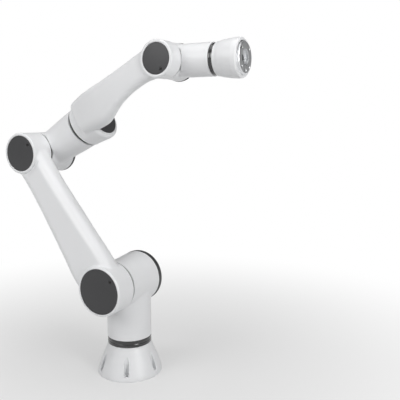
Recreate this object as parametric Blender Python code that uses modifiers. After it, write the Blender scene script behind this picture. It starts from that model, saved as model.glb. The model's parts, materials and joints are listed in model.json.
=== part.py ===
"""A six-axis collaborative robot arm, modelled as its castings, caps, rings and drive units.

The arm stands on the origin with +Z up along its first joint. Its second, third and fifth joints
turn about lines along Y. Each joint has an empty on its axis that carries the pieces beyond it.
"""

import math

import bpy
import bmesh
from mathutils import Vector

# Driving dimensions of the arm, in metres and degrees.
SHOULDER_HEIGHT = 0.220
UPPER_ARM_LENGTH = 0.380
FOREARM_LENGTH = 0.420
FLANGE_REACH = 0.1655
JOINT4_OFFSET = 0.0120
UPPER_ARM_LEAN = -39.8
ELBOW_BEND = 101.4
WRIST_BEND = 28.4

# Fits and walls.
GAP = 0.0003
WALL = 0.0050
CAP_THICKNESS = 0.0035

# Base and first joint.
BASE_RADIUS = 0.0755
NECK_RADIUS = 0.0515
RING_LOW = 0.0720
RING_HIGH = 0.0880
BASE_BORE = 0.0455
BASE_PLATE_RADIUS = 0.0520
BASE_PLATE_THICKNESS = 0.0045
SLOT_COUNT = 6
SLOT_TURN = -61.5
SLOT_WIDTH = 0.0105
SLOT_FLOOR = 0.0110
SLOT_BACK = 0.0575
BOLT_HOLE_RADIUS = 0.0033
BOLT_CIRCLE_RADIUS = 0.0645
SOCKET_TURN = 88.5
SOCKET_HEIGHT = 0.0330
SOCKET_SEAT = 0.0630

# Joint planes, each measured from its own centre plane.
ARM_NEAR = -0.1120
ARM_REAR = -0.0590
SHOULDER_NEAR = -0.0520
SHOULDER_FAR = 0.0400
ELBOW_CAP_NEAR = -0.0850
ELBOW_ARM_REAR = -0.0320
ELBOW_NEAR = -0.0260
ELBOW_FAR = 0.0470
TUBE_END = 0.1270
FOREARM_START = 0.1350
FOREARM_BARREL_END = 0.1880
FOREARM_END_ROUNDING = 0.0085
WRIST_CAP_NEAR = -0.0700
WRIST_ARM_REAR = -0.0320
WRIST_NEAR = -0.0270
WRIST_FAR = 0.0220
WRIST_TUBE_END = 0.0975
FLANGE_START = 0.1070

# Radii of the three joint modules and their caps.
SHOULDER_RIM = 0.0540
SHOULDER_FAR_RIM = 0.0595
ARM_SHOULDER_RADIUS = 0.0562
ARM_ELBOW_RADIUS = 0.0480
SHOULDER_CAP_RADIUS = 0.0508
ELBOW_CAP_RADIUS = 0.0417
WRIST_CAP_RADIUS = 0.0318
ELBOW_RADIUS = 0.0480
ELBOW_TUBE_RADIUS = 0.0470
FOREARM_BARREL_RADIUS = 0.0510
FOREARM_BELLY_RADIUS = 0.0525
FOREARM_BELLY_DROP = 0.0038
FOREARM_BORE = 0.0432
FOREARM_CAP_RADIUS = 0.0430
FOREARM_WRIST_RADIUS = 0.0385
WRIST_RADIUS = 0.0375
WRIST_TUBE_RADIUS = 0.0345
FLANGE_BELL_RADIUS = 0.0403
FLANGE_RADIUS = 0.0330

# Tool flange, with the hole pattern common to arms of this size.
PILOT_RADIUS = 0.01575
PILOT_DEPTH = 0.0060
TOOL_HOLE_CIRCLE = 0.0250
TOOL_HOLE_RADIUS = 0.0025
TOOL_HOLE_DEPTH = 0.0080
DOWEL_RADIUS = 0.0030

# Cap screws.
SCREW_RADIUS = 0.0028
SCREW_HEX_RADIUS = 0.0014

# Facets round each kind of turned piece.
FOOT_SEGMENTS = 36
SHELL_SEGMENTS = 28
SOCKET_SEGMENTS = 16
DRIVE_SEGMENTS = 12
SMALL_SEGMENTS = 10
CORNER_STEPS = 2

# The stacked cuts of the hollow housings defeat the exact solver, so they use the other one.
HOUSING_SOLVER = "MANIFOLD"

FINISHES = {
    "white_paint": ((0.83, 0.84, 0.85), 0.25, 0.0),
    "charcoal_plastic": ((0.065, 0.065, 0.068), 0.45, 0.0),
    "dark_ring": ((0.05, 0.05, 0.055), 0.18, 0.85),
    "machined_aluminium": ((0.72, 0.73, 0.74), 0.28, 1.0),
    "bearing_steel": ((0.55, 0.56, 0.58), 0.30, 1.0),
    "stator_iron": ((0.35, 0.20, 0.12), 0.50, 0.6),
    "black_screw": ((0.03, 0.03, 0.03), 0.35, 0.7),
    "connector_black": ((0.03, 0.03, 0.032), 0.50, 0.0),
}


def clear_scene():
    """Start from an empty scene."""
    for item in list(bpy.data.objects):
        bpy.data.objects.remove(item)


def new_collection(name):
    collection = bpy.data.collections.new(name)
    bpy.context.scene.collection.children.link(collection)
    return collection


def finish_material(slot):
    """The Principled material of one finish."""
    if slot in bpy.data.materials:
        return bpy.data.materials[slot]
    colour, roughness, metallic = FINISHES[slot]
    material = bpy.data.materials.new(slot)
    material.use_nodes = True
    shader = material.node_tree.nodes["Principled BSDF"]
    shader.inputs["Base Color"].default_value = (*colour, 1.0)
    shader.inputs["Roughness"].default_value = roughness
    shader.inputs["Metallic"].default_value = metallic
    return material


def new_frame(name, parent, place, turn_y=0.0):
    """An empty on a joint's axis, turned about Y."""
    frame = bpy.data.objects.new(name, None)
    frame.location = place
    frame.rotation_euler = (0, math.radians(turn_y), 0)
    frame.parent = parent
    PARTS.objects.link(frame)
    return frame


def add_item(name, mesh, frame, slot=None):
    """A part when it has a finish, or else a hidden cutting tool."""
    item = bpy.data.objects.new(name, mesh)
    item.parent = frame
    if slot:
        mesh.materials.append(finish_material(slot))
        PARTS.objects.link(item)
    else:
        item.hide_render = True
        item.display_type = "WIRE"
        CUTTERS.objects.link(item)
    return item


def turned(name, profile, frame, slot=None, along="Z", place=(0, 0, 0), segments=SHELL_SEGMENTS, ring=True):
    """A turned piece. The profile is (radius, height) pairs, down the outer side first."""
    mesh = bpy.data.meshes.new(name)
    last = len(profile) - 1
    edges = [(index, index + 1) for index in range(last)]
    if ring:
        edges.append((last, 0))
    mesh.from_pydata([(radius, 0, height) for radius, height in profile], edges, [])
    item = add_item(name, mesh, frame, slot)
    item.location = place
    if along == "Y":
        item.rotation_euler = (math.radians(-90), 0, 0)
    screw = item.modifiers.new("turn", "SCREW")
    screw.steps = segments
    screw.render_steps = segments
    screw.use_merge_vertices = True
    screw.merge_threshold = 0.00001
    screw.use_smooth_shade = True
    return item


def drilled(name, frame, radius, low, high, along="Z", place=(0, 0, 0), segments=SHELL_SEGMENTS):
    """A plain round cutter between two heights."""
    profile = [(0, high), (radius, high), (radius, low), (0, low)]
    return turned(name, profile, frame, None, along, place, segments, ring=False)


def rounded_section(x_low, x_high, y_low, y_high, radius):
    """The outline of a rectangle with round corners."""
    corners = (
        (x_high - radius, y_high - radius, 0),
        (x_low + radius, y_high - radius, 90),
        (x_low + radius, y_low + radius, 180),
        (x_high - radius, y_low + radius, 270),
    )
    outline = []
    for centre_x, centre_y, start in corners:
        for step in range(CORNER_STEPS + 1):
            angle = math.radians(start + 90 * step / CORNER_STEPS)
            outline.append((centre_x + radius * math.cos(angle), centre_y + radius * math.sin(angle)))
    return outline


def loft(name, sections, frame, slot=None, inset=0.0, turn_z=0.0):
    """A skin through round-cornered sections (height, x_low, x_high, y_low, y_high, radius)."""
    shell = bmesh.new()
    rings = []
    for height, x_low, x_high, y_low, y_high, radius in sections:
        corner = max(radius - inset, 0.002)
        outline = rounded_section(x_low + inset, x_high - inset, y_low + inset, y_high - inset, corner)
        rings.append([shell.verts.new((x, y, height)) for x, y in outline])
    count = len(rings[0])
    for lower, upper in zip(rings, rings[1:]):
        for index in range(count):
            after = (index + 1) % count
            shell.faces.new((lower[index], lower[after], upper[after], upper[index]))
    shell.faces.new(list(reversed(rings[0])))
    shell.faces.new(rings[-1])
    bmesh.ops.recalc_face_normals(shell, faces=shell.faces)
    mesh = bpy.data.meshes.new(name)
    shell.to_mesh(mesh)
    shell.free()
    item = add_item(name, mesh, frame, slot)
    item.rotation_euler = (0, 0, math.radians(turn_z))
    return item


def combine(item, tools, operation, solver):
    for tool in tools:
        step = item.modifiers.new(operation.lower(), "BOOLEAN")
        step.operation = operation
        step.solver = solver
        step.object = tool


def cut(item, *tools, solver="EXACT"):
    combine(item, tools, "DIFFERENCE", solver)


def fuse(item, *tools, solver="EXACT"):
    combine(item, tools, "UNION", solver)


def ring_profile(inner, outer, low, high):
    return [(outer, high), (outer, low), (inner, low), (inner, high)]


def seam_ring(name, frame, inner, outer, low, high, along="Z", place=(0, 0, 0)):
    """The dark polished ring that shows in the groove between two modules."""
    profile = ring_profile(inner, outer, low + GAP, high - GAP)
    return turned(name, profile, frame, "dark_ring", along, place)


def round_cap(name, frame, radius, near, place=(0, 0, 0)):
    """A flat cover disc with a small chamfer, set in its recess in a near face."""
    chamfer = 0.0008
    profile = [
        (0, near + CAP_THICKNESS),
        (radius, near + CAP_THICKNESS),
        (radius, near + chamfer),
        (radius - chamfer, near),
        (0, near),
    ]
    return turned(name, profile, frame, "charcoal_plastic", "Y", place, SHELL_SEGMENTS, ring=False)


def cap_screw(name, frame, cap, near, place):
    """A socket screw through a cover, a little below its face."""
    head = near + 0.0006
    tail = near + CAP_THICKNESS - GAP
    socket = head + 0.0014
    profile = [
        (0, tail),
        (SCREW_RADIUS, tail),
        (SCREW_RADIUS, head),
        (SCREW_HEX_RADIUS, head),
        (SCREW_HEX_RADIUS, socket),
        (0, socket),
    ]
    turned(name, profile, frame, "black_screw", "Y", place, SMALL_SEGMENTS, ring=False)
    hole = drilled(name + "_hole", frame, SCREW_RADIUS + GAP, near - 0.01, near + 0.01, "Y", place, SMALL_SEGMENTS)
    cut(cap, hole)


def domed_cap(name, frame, radius, seat, depth, place=(0, 0, 0)):
    """A deep cover with a domed outer face, open towards the module it closes."""
    wall = 0.003
    shoulder = seat + depth * 0.35
    crown = seat + depth
    profile = [
        (0, crown),
        (radius * 0.50, crown - depth * 0.08),
        (radius * 0.80, crown - depth * 0.30),
        (radius * 0.97, shoulder),
        (radius, seat + 0.002),
        (radius - 0.001, seat),
        (radius - wall, seat),
        (radius * 0.97 - wall, shoulder - 0.001),
        (radius * 0.60, crown - depth * 0.18 - wall),
        (0, crown - wall),
    ]
    return turned(name, profile, frame, "charcoal_plastic", "Y", place, SHELL_SEGMENTS, ring=False)


def drive_unit(joint, frame, bore, start, end, along="Z", place=(0, 0, 0)):
    """The strain-wave drive in a joint: bearing, gear, stator and hollow rotor, from start to end."""
    way = 1 if end > start else -1
    span = abs(end - start)

    def piece(suffix, inner, outer, near, far, slot):
        low, high = sorted((start + way * near, start + way * far))
        profile = ring_profile(inner * bore, outer * bore, low, high)
        turned(joint + suffix, profile, frame, slot, along, place, DRIVE_SEGMENTS)

    bearing_end = 0.16 * span
    gear_end = 0.42 * span
    stator_start = 0.50 * span
    stator_end = 0.86 * span
    piece("_bearing", 0.70, 0.99, 0, bearing_end, "bearing_steel")
    piece("_gear", 0.34, 0.98, bearing_end + GAP, gear_end, "bearing_steel")
    piece("_stator", 0.60, 0.98, stator_start, stator_end, "stator_iron")
    rotor_marks = (span, stator_end - 0.002, stator_start + 0.002, 0.04 * span)
    far, disc_far, disc_near, near = (start + way * mark for mark in rotor_marks)
    profile = [
        (0.28 * bore, far),
        (0.28 * bore, disc_far),
        (0.57 * bore, disc_far),
        (0.57 * bore, disc_near),
        (0.28 * bore, disc_near),
        (0.28 * bore, near),
        (0.18 * bore, near),
        (0.18 * bore, far),
    ]
    if way < 0:
        profile.reverse()
    turned(joint + "_rotor", profile, frame, "machined_aluminium", along, place, DRIVE_SEGMENTS)


def build_base(frame):
    """The conical foot with its bolt slots, floor plate, neck ring and rear socket."""
    outer_top = RING_LOW - GAP
    profile = [
        (NECK_RADIUS - 0.0010, outer_top),
        (NECK_RADIUS, outer_top - 0.0010),
        (0.0582, 0.0510),
        (0.0645, 0.0370),
        (0.0692, 0.0240),
        (0.0735, 0.0110),
        (BASE_RADIUS, 0.0035),
        (BASE_RADIUS - 0.0010, 0),
        (BASE_PLATE_RADIUS + GAP, 0),
        (BASE_PLATE_RADIUS + GAP, BASE_PLATE_THICKNESS + GAP),
        (BASE_BORE, BASE_PLATE_THICKNESS + GAP),
        (BASE_BORE, outer_top),
    ]
    casting = turned("base_casting", profile, frame, "white_paint", segments=FOOT_SEGMENTS)
    half_slot = SLOT_WIDTH / 2
    slot_sides = (SLOT_BACK, 0.095, -half_slot, half_slot, half_slot - 0.0004)
    for index in range(SLOT_COUNT):
        turn = SLOT_TURN + index * 360 / SLOT_COUNT
        slot = loft(f"slot_{index}", [(SLOT_FLOOR, *slot_sides), (0.070, *slot_sides)], frame, turn_z=turn)
        angle = math.radians(turn)
        centre = Vector((math.cos(angle), math.sin(angle), 0)) * BOLT_CIRCLE_RADIUS
        hole = drilled(f"bolt_hole_{index}", frame, BOLT_HOLE_RADIUS, -0.002, 0.013, "Z", centre, SMALL_SEGMENTS)
        cut(casting, slot, hole)
    plate = [(0, BASE_PLATE_THICKNESS), (BASE_PLATE_RADIUS, BASE_PLATE_THICKNESS), (BASE_PLATE_RADIUS, 0), (0, 0)]
    turned("base_bottom_plate", plate, frame, "machined_aluminium", ring=False)
    seam_ring("joint1_ring", frame, 0.0450, NECK_RADIUS - 0.0003, RING_LOW, RING_HIGH)
    build_socket(frame, casting)


def build_socket(frame, casting):
    """The round cable socket on a flat at the rear of the foot."""
    seat = bpy.data.objects.new("socket_frame", None)
    PARTS.objects.link(seat)
    seat.parent = frame
    seat.location = (0, 0, SOCKET_HEIGHT)
    seat.rotation_euler = (0, math.radians(90), math.radians(SOCKET_TURN))
    flat = loft("socket_flat", [(SOCKET_SEAT, -0.012, 0.012, -0.012, 0.012, 0.003),
                                (0.1, -0.012, 0.012, -0.012, 0.012, 0.003)], seat)
    bore = drilled("socket_bore", seat, 0.0085, 0.040, 0.070, segments=SOCKET_SEGMENTS)
    cut(casting, flat, bore)
    face = SOCKET_SEAT + GAP
    profile = [
        (0.0090, face + 0.0090),
        (0.0095, face + 0.0080),
        (0.0095, face + 0.0030),
        (0.0115, face + 0.0030),
        (0.0115, face),
        (0.0080, face),
        (0.0080, face - 0.0100),
        (0.0068, face - 0.0100),
        (0.0068, face + 0.0090),
    ]
    turned("power_socket", profile, seat, "machined_aluminium", segments=SOCKET_SEGMENTS)
    insert = [(0, face), (0.0065, face), (0.0065, face - 0.0090), (0, face - 0.0090)]
    turned("socket_insert", insert, seat, "connector_black", segments=SOCKET_SEGMENTS, ring=False)


def build_shoulder(frame):
    """The upright tube and the cross barrel, which hold the first and second joints."""
    cross = (0, 0, SHOULDER_HEIGHT)
    tube_low = RING_HIGH
    tube = turned("shoulder_housing", [
        (0, 0.235),
        (0.0480, 0.235),
        (NECK_RADIUS, 0.225),
        (NECK_RADIUS, tube_low + 0.0010),
        (NECK_RADIUS - 0.0010, tube_low),
        (0, tube_low),
    ], frame, "white_paint", ring=False)
    barrel = turned("shoulder_barrel", [
        (0, SHOULDER_FAR),
        (SHOULDER_FAR_RIM - 0.0010, SHOULDER_FAR),
        (SHOULDER_FAR_RIM, SHOULDER_FAR - 0.0010),
        (0.0580, 0.0150),
        (0.0552, -0.0150),
        (SHOULDER_RIM, SHOULDER_NEAR + 0.0010),
        (SHOULDER_RIM - 0.0010, SHOULDER_NEAR),
        (0, SHOULDER_NEAR),
    ], frame, None, "Y", cross, ring=False)
    cap_radius = SHOULDER_FAR_RIM + 0.0008
    cap_room = drilled("shoulder_cap_room", frame, cap_radius + 0.0008, SHOULDER_FAR, 0.08, "Y", cross)
    cut(tube, cap_room, solver=HOUSING_SOLVER)
    fuse(tube, barrel, solver=HOUSING_SOLVER)
    cross_bore = drilled("shoulder_cross_bore", frame, SHOULDER_RIM - WALL, -0.07, 0.06, "Y", cross)
    upright_bore = drilled("shoulder_upright_bore", frame, NECK_RADIUS - WALL, 0.07, 0.19)
    cut(tube, cross_bore, upright_bore, solver=HOUSING_SOLVER)
    domed_cap("shoulder_far_cap", frame, cap_radius, SHOULDER_FAR + GAP, 0.0200, cross)
    seam_ring("joint2_ring", frame, 0.0472, 0.0515, ARM_REAR, SHOULDER_NEAR, "Y", cross)


def upper_arm_sections():
    """The link from shoulder to elbow: wide and deep at the shoulder, slimmer towards the elbow."""
    stations = (
        (0.000, 0.0500, 0.1085, 0.0600, 0.018),
        (0.060, 0.0550, 0.1060, 0.0595, 0.020),
        (0.120, 0.0515, 0.1010, 0.0550, 0.021),
        (0.190, 0.0470, 0.0950, 0.0480, 0.021),
        (0.260, 0.0425, 0.0895, 0.0420, 0.020),
        (0.320, 0.0410, 0.0850, 0.0370, 0.019),
        (0.380, 0.0430, 0.0815, 0.0330, 0.016),
    )
    return [(height, -half, half, -near, -rear, radius) for height, half, near, rear, radius in stations]


def end_barrel(name, frame, place, radius, near, rear, slot=None):
    """The solid round end of a link, with a softened near rim."""
    profile = [
        (0, rear),
        (radius - 0.0008, rear),
        (radius, rear - 0.0010),
        (radius - 0.0003, near + 0.0100),
        (radius - 0.0015, near + 0.0050),
        (radius - 0.0040, near + 0.0020),
        (0, near + 0.0020),
    ]
    return turned(name, profile, frame, slot, "Y", place, ring=False)


def build_upper_arm(joint2, joint3):
    """The one-piece link with a round end at each joint and a cover over each."""
    shell = end_barrel("upper_arm_shell", joint2, (0, 0, 0), ARM_SHOULDER_RADIUS, ARM_NEAR, ARM_REAR, "white_paint")
    elbow_place = (0, 0, UPPER_ARM_LENGTH)
    elbow_end = end_barrel("upper_arm_elbow_end", joint2, elbow_place, ARM_ELBOW_RADIUS, ELBOW_CAP_NEAR, ELBOW_ARM_REAR)
    link = loft("upper_arm_link", upper_arm_sections(), joint2)
    fuse(shell, elbow_end, link, solver=HOUSING_SOLVER)
    cavity = loft("upper_arm_cavity", upper_arm_sections(), joint2, inset=WALL)
    shoulder_bore = drilled("upper_arm_shoulder_bore", joint2, 0.0460, -0.15, 0.0, "Y")
    elbow_bore = drilled("upper_arm_elbow_bore", joint2, 0.0390, -0.12, 0.02, "Y", elbow_place)
    shoulder_seat = drilled("shoulder_cap_seat", joint2, SHOULDER_CAP_RADIUS + GAP, -0.15,
                            ARM_NEAR + CAP_THICKNESS + GAP, "Y")
    elbow_seat = drilled("elbow_cap_seat", joint2, ELBOW_CAP_RADIUS + GAP, -0.12,
                         ELBOW_CAP_NEAR + CAP_THICKNESS + GAP, "Y", elbow_place)
    cut(shell, cavity, shoulder_bore, elbow_bore, shoulder_seat, elbow_seat, solver=HOUSING_SOLVER)
    shoulder_cap = round_cap("shoulder_cap", joint2, SHOULDER_CAP_RADIUS, ARM_NEAR)
    cap_screw("shoulder_cap_screw", joint2, shoulder_cap, ARM_NEAR, (0.0405, 0, 0))
    elbow_cap = round_cap("elbow_cap", joint2, ELBOW_CAP_RADIUS, ELBOW_CAP_NEAR, elbow_place)
    cap_screw("elbow_cap_screw", joint2, elbow_cap, ELBOW_CAP_NEAR, (0.0320, 0, UPPER_ARM_LENGTH))
    seam_ring("joint3_ring", joint3, 0.0400, 0.0445, ELBOW_ARM_REAR, ELBOW_NEAR, "Y")


def build_elbow(joint3):
    """The cross barrel at the elbow and the tube that leads to the fourth joint."""
    tube_place = (0, JOINT4_OFFSET, 0)
    housing = turned("elbow_housing", [
        (0, ELBOW_FAR),
        (ELBOW_RADIUS + 0.0010, ELBOW_FAR),
        (ELBOW_RADIUS + 0.0018, ELBOW_FAR - 0.0010),
        (ELBOW_RADIUS + 0.0008, 0.0150),
        (ELBOW_RADIUS, ELBOW_NEAR + 0.0010),
        (ELBOW_RADIUS - 0.0010, ELBOW_NEAR),
        (0, ELBOW_NEAR),
    ], joint3, "white_paint", "Y", ring=False)
    tube = turned("elbow_tube", [
        (0, TUBE_END),
        (ELBOW_TUBE_RADIUS + 0.0010, TUBE_END),
        (ELBOW_TUBE_RADIUS + 0.0020, TUBE_END - 0.0010),
        (ELBOW_TUBE_RADIUS + 0.0010, 0.100),
        (ELBOW_TUBE_RADIUS - 0.0030, 0.040),
        (ELBOW_TUBE_RADIUS - 0.0060, 0.0),
        (0, 0.0),
    ], joint3, place=tube_place, ring=False)
    cap_radius = ELBOW_RADIUS + 0.0022
    arm_room = drilled("elbow_arm_room", joint3, ARM_ELBOW_RADIUS + 0.0015, -0.10, ELBOW_NEAR, "Y")
    cap_room = drilled("elbow_cap_room", joint3, cap_radius + 0.0008, ELBOW_FAR, 0.08, "Y")
    cut(tube, arm_room, cap_room, solver=HOUSING_SOLVER)
    fuse(housing, tube, solver=HOUSING_SOLVER)
    cross_bore = drilled("elbow_cross_bore", joint3, ELBOW_RADIUS - WALL, -0.10, 0.08, "Y")
    tube_bore = drilled("elbow_tube_bore", joint3, ELBOW_TUBE_RADIUS - WALL - 0.0008, 0.052, 0.14, "Z", tube_place)
    cut(housing, cross_bore, tube_bore, solver=HOUSING_SOLVER)
    domed_cap("elbow_far_cap", joint3, cap_radius, ELBOW_FAR + GAP, 0.0120)
    seam_ring("joint4_ring", joint3, 0.0412, 0.0452, TUBE_END, FOREARM_START, "Z", tube_place)


def forearm_link_sections():
    """The offset link from the fourth joint's barrel to the fifth joint, hollowed below."""
    return [
        (0.1600, -0.0488, 0.0340, -0.0470, 0.0000, 0.020),
        (0.2000, -0.0482, 0.0400, -0.0530, -0.0060, 0.020),
        (0.2300, -0.0450, 0.0430, -0.0575, -0.0150, 0.018),
        (0.2620, -0.0412, 0.0370, -0.0605, -0.0280, 0.016),
        (0.2900, -0.0388, 0.0290, -0.0625, -0.0345, 0.013),
        (0.3250, -0.0376, 0.0235, -0.0640, -0.0360, 0.013),
        (0.3650, -0.0372, 0.0230, -0.0655, -0.0360, 0.013),
        (0.3950, -0.0370, 0.0290, -0.0662, -0.0360, 0.013),
        (FOREARM_LENGTH, -0.0360, 0.0340, -0.0665, -0.0360, 0.013),
    ]


def build_forearm(joint4, forearm, joint5):
    """The barrel round the fourth joint, its end cover, and the offset link to the fifth joint."""
    shell = turned("forearm_shell", [
        (0, FOREARM_BARREL_END - 0.0300),
        (FOREARM_BARREL_RADIUS, FOREARM_BARREL_END - 0.0300),
        (FOREARM_BARREL_RADIUS, FOREARM_START + 0.0010),
        (FOREARM_BARREL_RADIUS - 0.0010, FOREARM_START),
        (0, FOREARM_START),
    ], joint4, "white_paint", ring=False)
    belly_place = (FOREARM_BELLY_DROP, 0, 0)
    belly = turned("forearm_belly", [
        (0, FOREARM_BARREL_END),
        (FOREARM_BELLY_RADIUS - FOREARM_END_ROUNDING, FOREARM_BARREL_END),
        (FOREARM_BELLY_RADIUS - 0.5 * FOREARM_END_ROUNDING, FOREARM_BARREL_END - 0.134 * FOREARM_END_ROUNDING),
        (FOREARM_BELLY_RADIUS - 0.134 * FOREARM_END_ROUNDING, FOREARM_BARREL_END - 0.5 * FOREARM_END_ROUNDING),
        (FOREARM_BELLY_RADIUS, FOREARM_BARREL_END - FOREARM_END_ROUNDING),
        (FOREARM_BELLY_RADIUS - 0.0010, 0.1700),
        (FOREARM_BARREL_RADIUS - FOREARM_BELLY_DROP, FOREARM_START + 0.0030),
        (0, FOREARM_START + 0.0030),
    ], joint4, place=belly_place, ring=False)
    fuse(shell, belly, solver=HOUSING_SOLVER)
    seat_floor = FOREARM_BARREL_END - 0.0048
    cap_seat = drilled("forearm_cap_seat", joint4, FOREARM_CAP_RADIUS + GAP, seat_floor, 0.22, "Z", belly_place)
    cut(shell, cap_seat, solver=HOUSING_SOLVER)
    wrist_place = (0, 0, FOREARM_LENGTH)
    link = loft("forearm_link", forearm_link_sections(), forearm)
    wrist_end = end_barrel("forearm_wrist_end", forearm, wrist_place, FOREARM_WRIST_RADIUS,
                           WRIST_CAP_NEAR, WRIST_ARM_REAR)
    fuse(shell, link, wrist_end, solver=HOUSING_SOLVER)
    barrel_bore = drilled("forearm_barrel_bore", joint4, FOREARM_BORE, 0.12, seat_floor - 0.0030)
    cavity = loft("forearm_cavity", forearm_link_sections(), forearm, inset=WALL)
    wrist_bore = drilled("forearm_wrist_bore", forearm, 0.0295, -0.10, -0.02, "Y", wrist_place)
    wrist_seat = drilled("wrist_cap_seat", forearm, WRIST_CAP_RADIUS + GAP, -0.10,
                         WRIST_CAP_NEAR + CAP_THICKNESS + GAP, "Y", wrist_place)
    cut(shell, barrel_bore, cavity, wrist_bore, wrist_seat, solver=HOUSING_SOLVER)
    build_forearm_cap(joint4, forearm, belly_place)
    wrist_cap = round_cap("wrist_cap", forearm, WRIST_CAP_RADIUS, WRIST_CAP_NEAR, wrist_place)
    cap_screw("wrist_cap_screw", forearm, wrist_cap, WRIST_CAP_NEAR, (0.0235, 0, FOREARM_LENGTH))
    seam_ring("joint5_ring", joint5, 0.0310, 0.0345, WRIST_ARM_REAR, WRIST_NEAR, "Y")


def build_forearm_cap(joint4, forearm, place):
    """The cover at the far end of the fourth joint's barrel, cut away where the link passes."""
    low = FOREARM_BARREL_END - 0.0045
    high = FOREARM_BARREL_END + 0.0020
    edge = FOREARM_CAP_RADIUS
    profile = [(0, high), (edge - 0.0020, high), (edge, high - 0.0020), (edge, low), (0, low)]
    cap = turned("forearm_end_cap", profile, joint4, "charcoal_plastic", "Z", place, ring=False)
    link_room = loft("forearm_link_room", forearm_link_sections(), forearm, inset=-0.0005)
    cut(cap, link_room)


def build_wrist(joint5):
    """The cross barrel at the wrist and the tube that leads to the sixth joint."""
    housing = turned("wrist_housing", [
        (0, WRIST_FAR),
        (WRIST_RADIUS + 0.0015, WRIST_FAR),
        (WRIST_RADIUS + 0.0023, WRIST_FAR - 0.0010),
        (WRIST_RADIUS + 0.0008, 0.0),
        (WRIST_RADIUS, WRIST_NEAR + 0.0010),
        (WRIST_RADIUS - 0.0010, WRIST_NEAR),
        (0, WRIST_NEAR),
    ], joint5, "white_paint", "Y", ring=False)
    tube = turned("wrist_tube", [
        (0, WRIST_TUBE_END),
        (WRIST_TUBE_RADIUS - 0.0006, WRIST_TUBE_END),
        (WRIST_TUBE_RADIUS, WRIST_TUBE_END - 0.0010),
        (WRIST_TUBE_RADIUS, 0.0),
        (0, 0.0),
    ], joint5, ring=False)
    cap_radius = WRIST_RADIUS + 0.0030
    arm_room = drilled("wrist_arm_room", joint5, FOREARM_WRIST_RADIUS + 0.0010, -0.08, WRIST_NEAR, "Y")
    cap_room = drilled("wrist_cap_room", joint5, cap_radius + 0.0008, WRIST_FAR, 0.06, "Y")
    cut(tube, arm_room, cap_room, solver=HOUSING_SOLVER)
    fuse(housing, tube, solver=HOUSING_SOLVER)
    cross_bore = drilled("wrist_cross_bore", joint5, WRIST_RADIUS - WALL, -0.08, 0.05, "Y")
    tube_bore = drilled("wrist_tube_bore", joint5, WRIST_TUBE_RADIUS - WALL, 0.010, 0.12)
    cut(housing, cross_bore, tube_bore, solver=HOUSING_SOLVER)
    domed_cap("wrist_far_cap", joint5, cap_radius, WRIST_FAR + GAP, 0.0110)
    seam_ring("joint6_ring", joint5, 0.0292, 0.0325, WRIST_TUBE_END, FLANGE_START)


def build_flange(joint6):
    """The last housing, which flares towards the tool flange that it carries."""
    front = FLANGE_REACH - 0.0040
    turned("flange_housing", [
        (0.0375, front),
        (0.0395, front - 0.0025),
        (FLANGE_BELL_RADIUS, front - 0.0100),
        (0.0392, 0.1350),
        (0.0370, 0.1180),
        (WRIST_TUBE_RADIUS, FLANGE_START + 0.0010),
        (WRIST_TUBE_RADIUS - 0.0008, FLANGE_START),
        (0.0295, FLANGE_START),
        (0.0295, front - 0.0120),
        (FLANGE_RADIUS + GAP, front - 0.0120),
        (FLANGE_RADIUS + GAP, front),
    ], joint6, "white_paint")
    back = front - 0.0117
    plate = turned("tool_flange", [
        (PILOT_RADIUS, FLANGE_REACH),
        (0.0305, FLANGE_REACH),
        (0.0315, FLANGE_REACH - 0.0010),
        (0.0315, front + 0.0005),
        (FLANGE_RADIUS, front - 0.0003),
        (FLANGE_RADIUS, back),
        (0.0060, back),
        (0.0060, FLANGE_REACH - PILOT_DEPTH),
        (PILOT_RADIUS, FLANGE_REACH - PILOT_DEPTH),
    ], joint6, "machined_aluminium")
    for index in range(4):
        angle = math.radians(45 + 90 * index)
        centre = Vector((math.cos(angle), math.sin(angle), 0)) * TOOL_HOLE_CIRCLE
        cut(plate, drilled(f"tool_hole_{index}", joint6, TOOL_HOLE_RADIUS, FLANGE_REACH - TOOL_HOLE_DEPTH,
                           FLANGE_REACH + 0.01, "Z", centre, SMALL_SEGMENTS))
    cut(plate, drilled("dowel_hole", joint6, DOWEL_RADIUS, FLANGE_REACH - 0.006, FLANGE_REACH + 0.01, "Z",
                       (TOOL_HOLE_CIRCLE, 0, 0), SMALL_SEGMENTS))


def build_drives(base, joint2, joint3, joint4, joint5, joint6):
    """One drive in each joint, on the joint's axis."""
    drive_unit("joint1", base, 0.0440, 0.0950, 0.0120)
    drive_unit("joint2", joint2, 0.0455, -0.0640, 0.0360, "Y")
    drive_unit("joint3", joint3, 0.0385, -0.0360, 0.0440, "Y")
    drive_unit("joint4", joint4, 0.0398, 0.1220, 0.1790)
    drive_unit("joint5", joint5, 0.0290, -0.0370, 0.0190, "Y")
    drive_unit("joint6", joint6, 0.0284, 0.0930, 0.1480)


def build_arm():
    base = new_frame("base_frame", None, (0, 0, 0))
    joint1 = new_frame("joint1_frame", base, (0, 0, 0))
    joint2 = new_frame("joint2_frame", joint1, (0, 0, SHOULDER_HEIGHT), UPPER_ARM_LEAN)
    joint3 = new_frame("joint3_frame", joint2, (0, 0, UPPER_ARM_LENGTH), ELBOW_BEND)
    joint4 = new_frame("joint4_frame", joint3, (0, JOINT4_OFFSET, 0))
    forearm = new_frame("forearm_frame", joint4, (0, -JOINT4_OFFSET, 0))
    joint5 = new_frame("joint5_frame", forearm, (0, 0, FOREARM_LENGTH), WRIST_BEND)
    joint6 = new_frame("joint6_frame", joint5, (0, 0, 0))
    build_base(base)
    build_shoulder(joint1)
    build_upper_arm(joint2, joint3)
    build_elbow(joint3)
    build_forearm(joint4, forearm, joint5)
    build_wrist(joint5)
    build_flange(joint6)
    build_drives(base, joint2, joint3, joint4, joint5, joint6)


clear_scene()
PARTS = new_collection("collaborative_robot_arm")
CUTTERS = new_collection("cutters")
build_arm()
bpy.context.view_layer.update()
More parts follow.
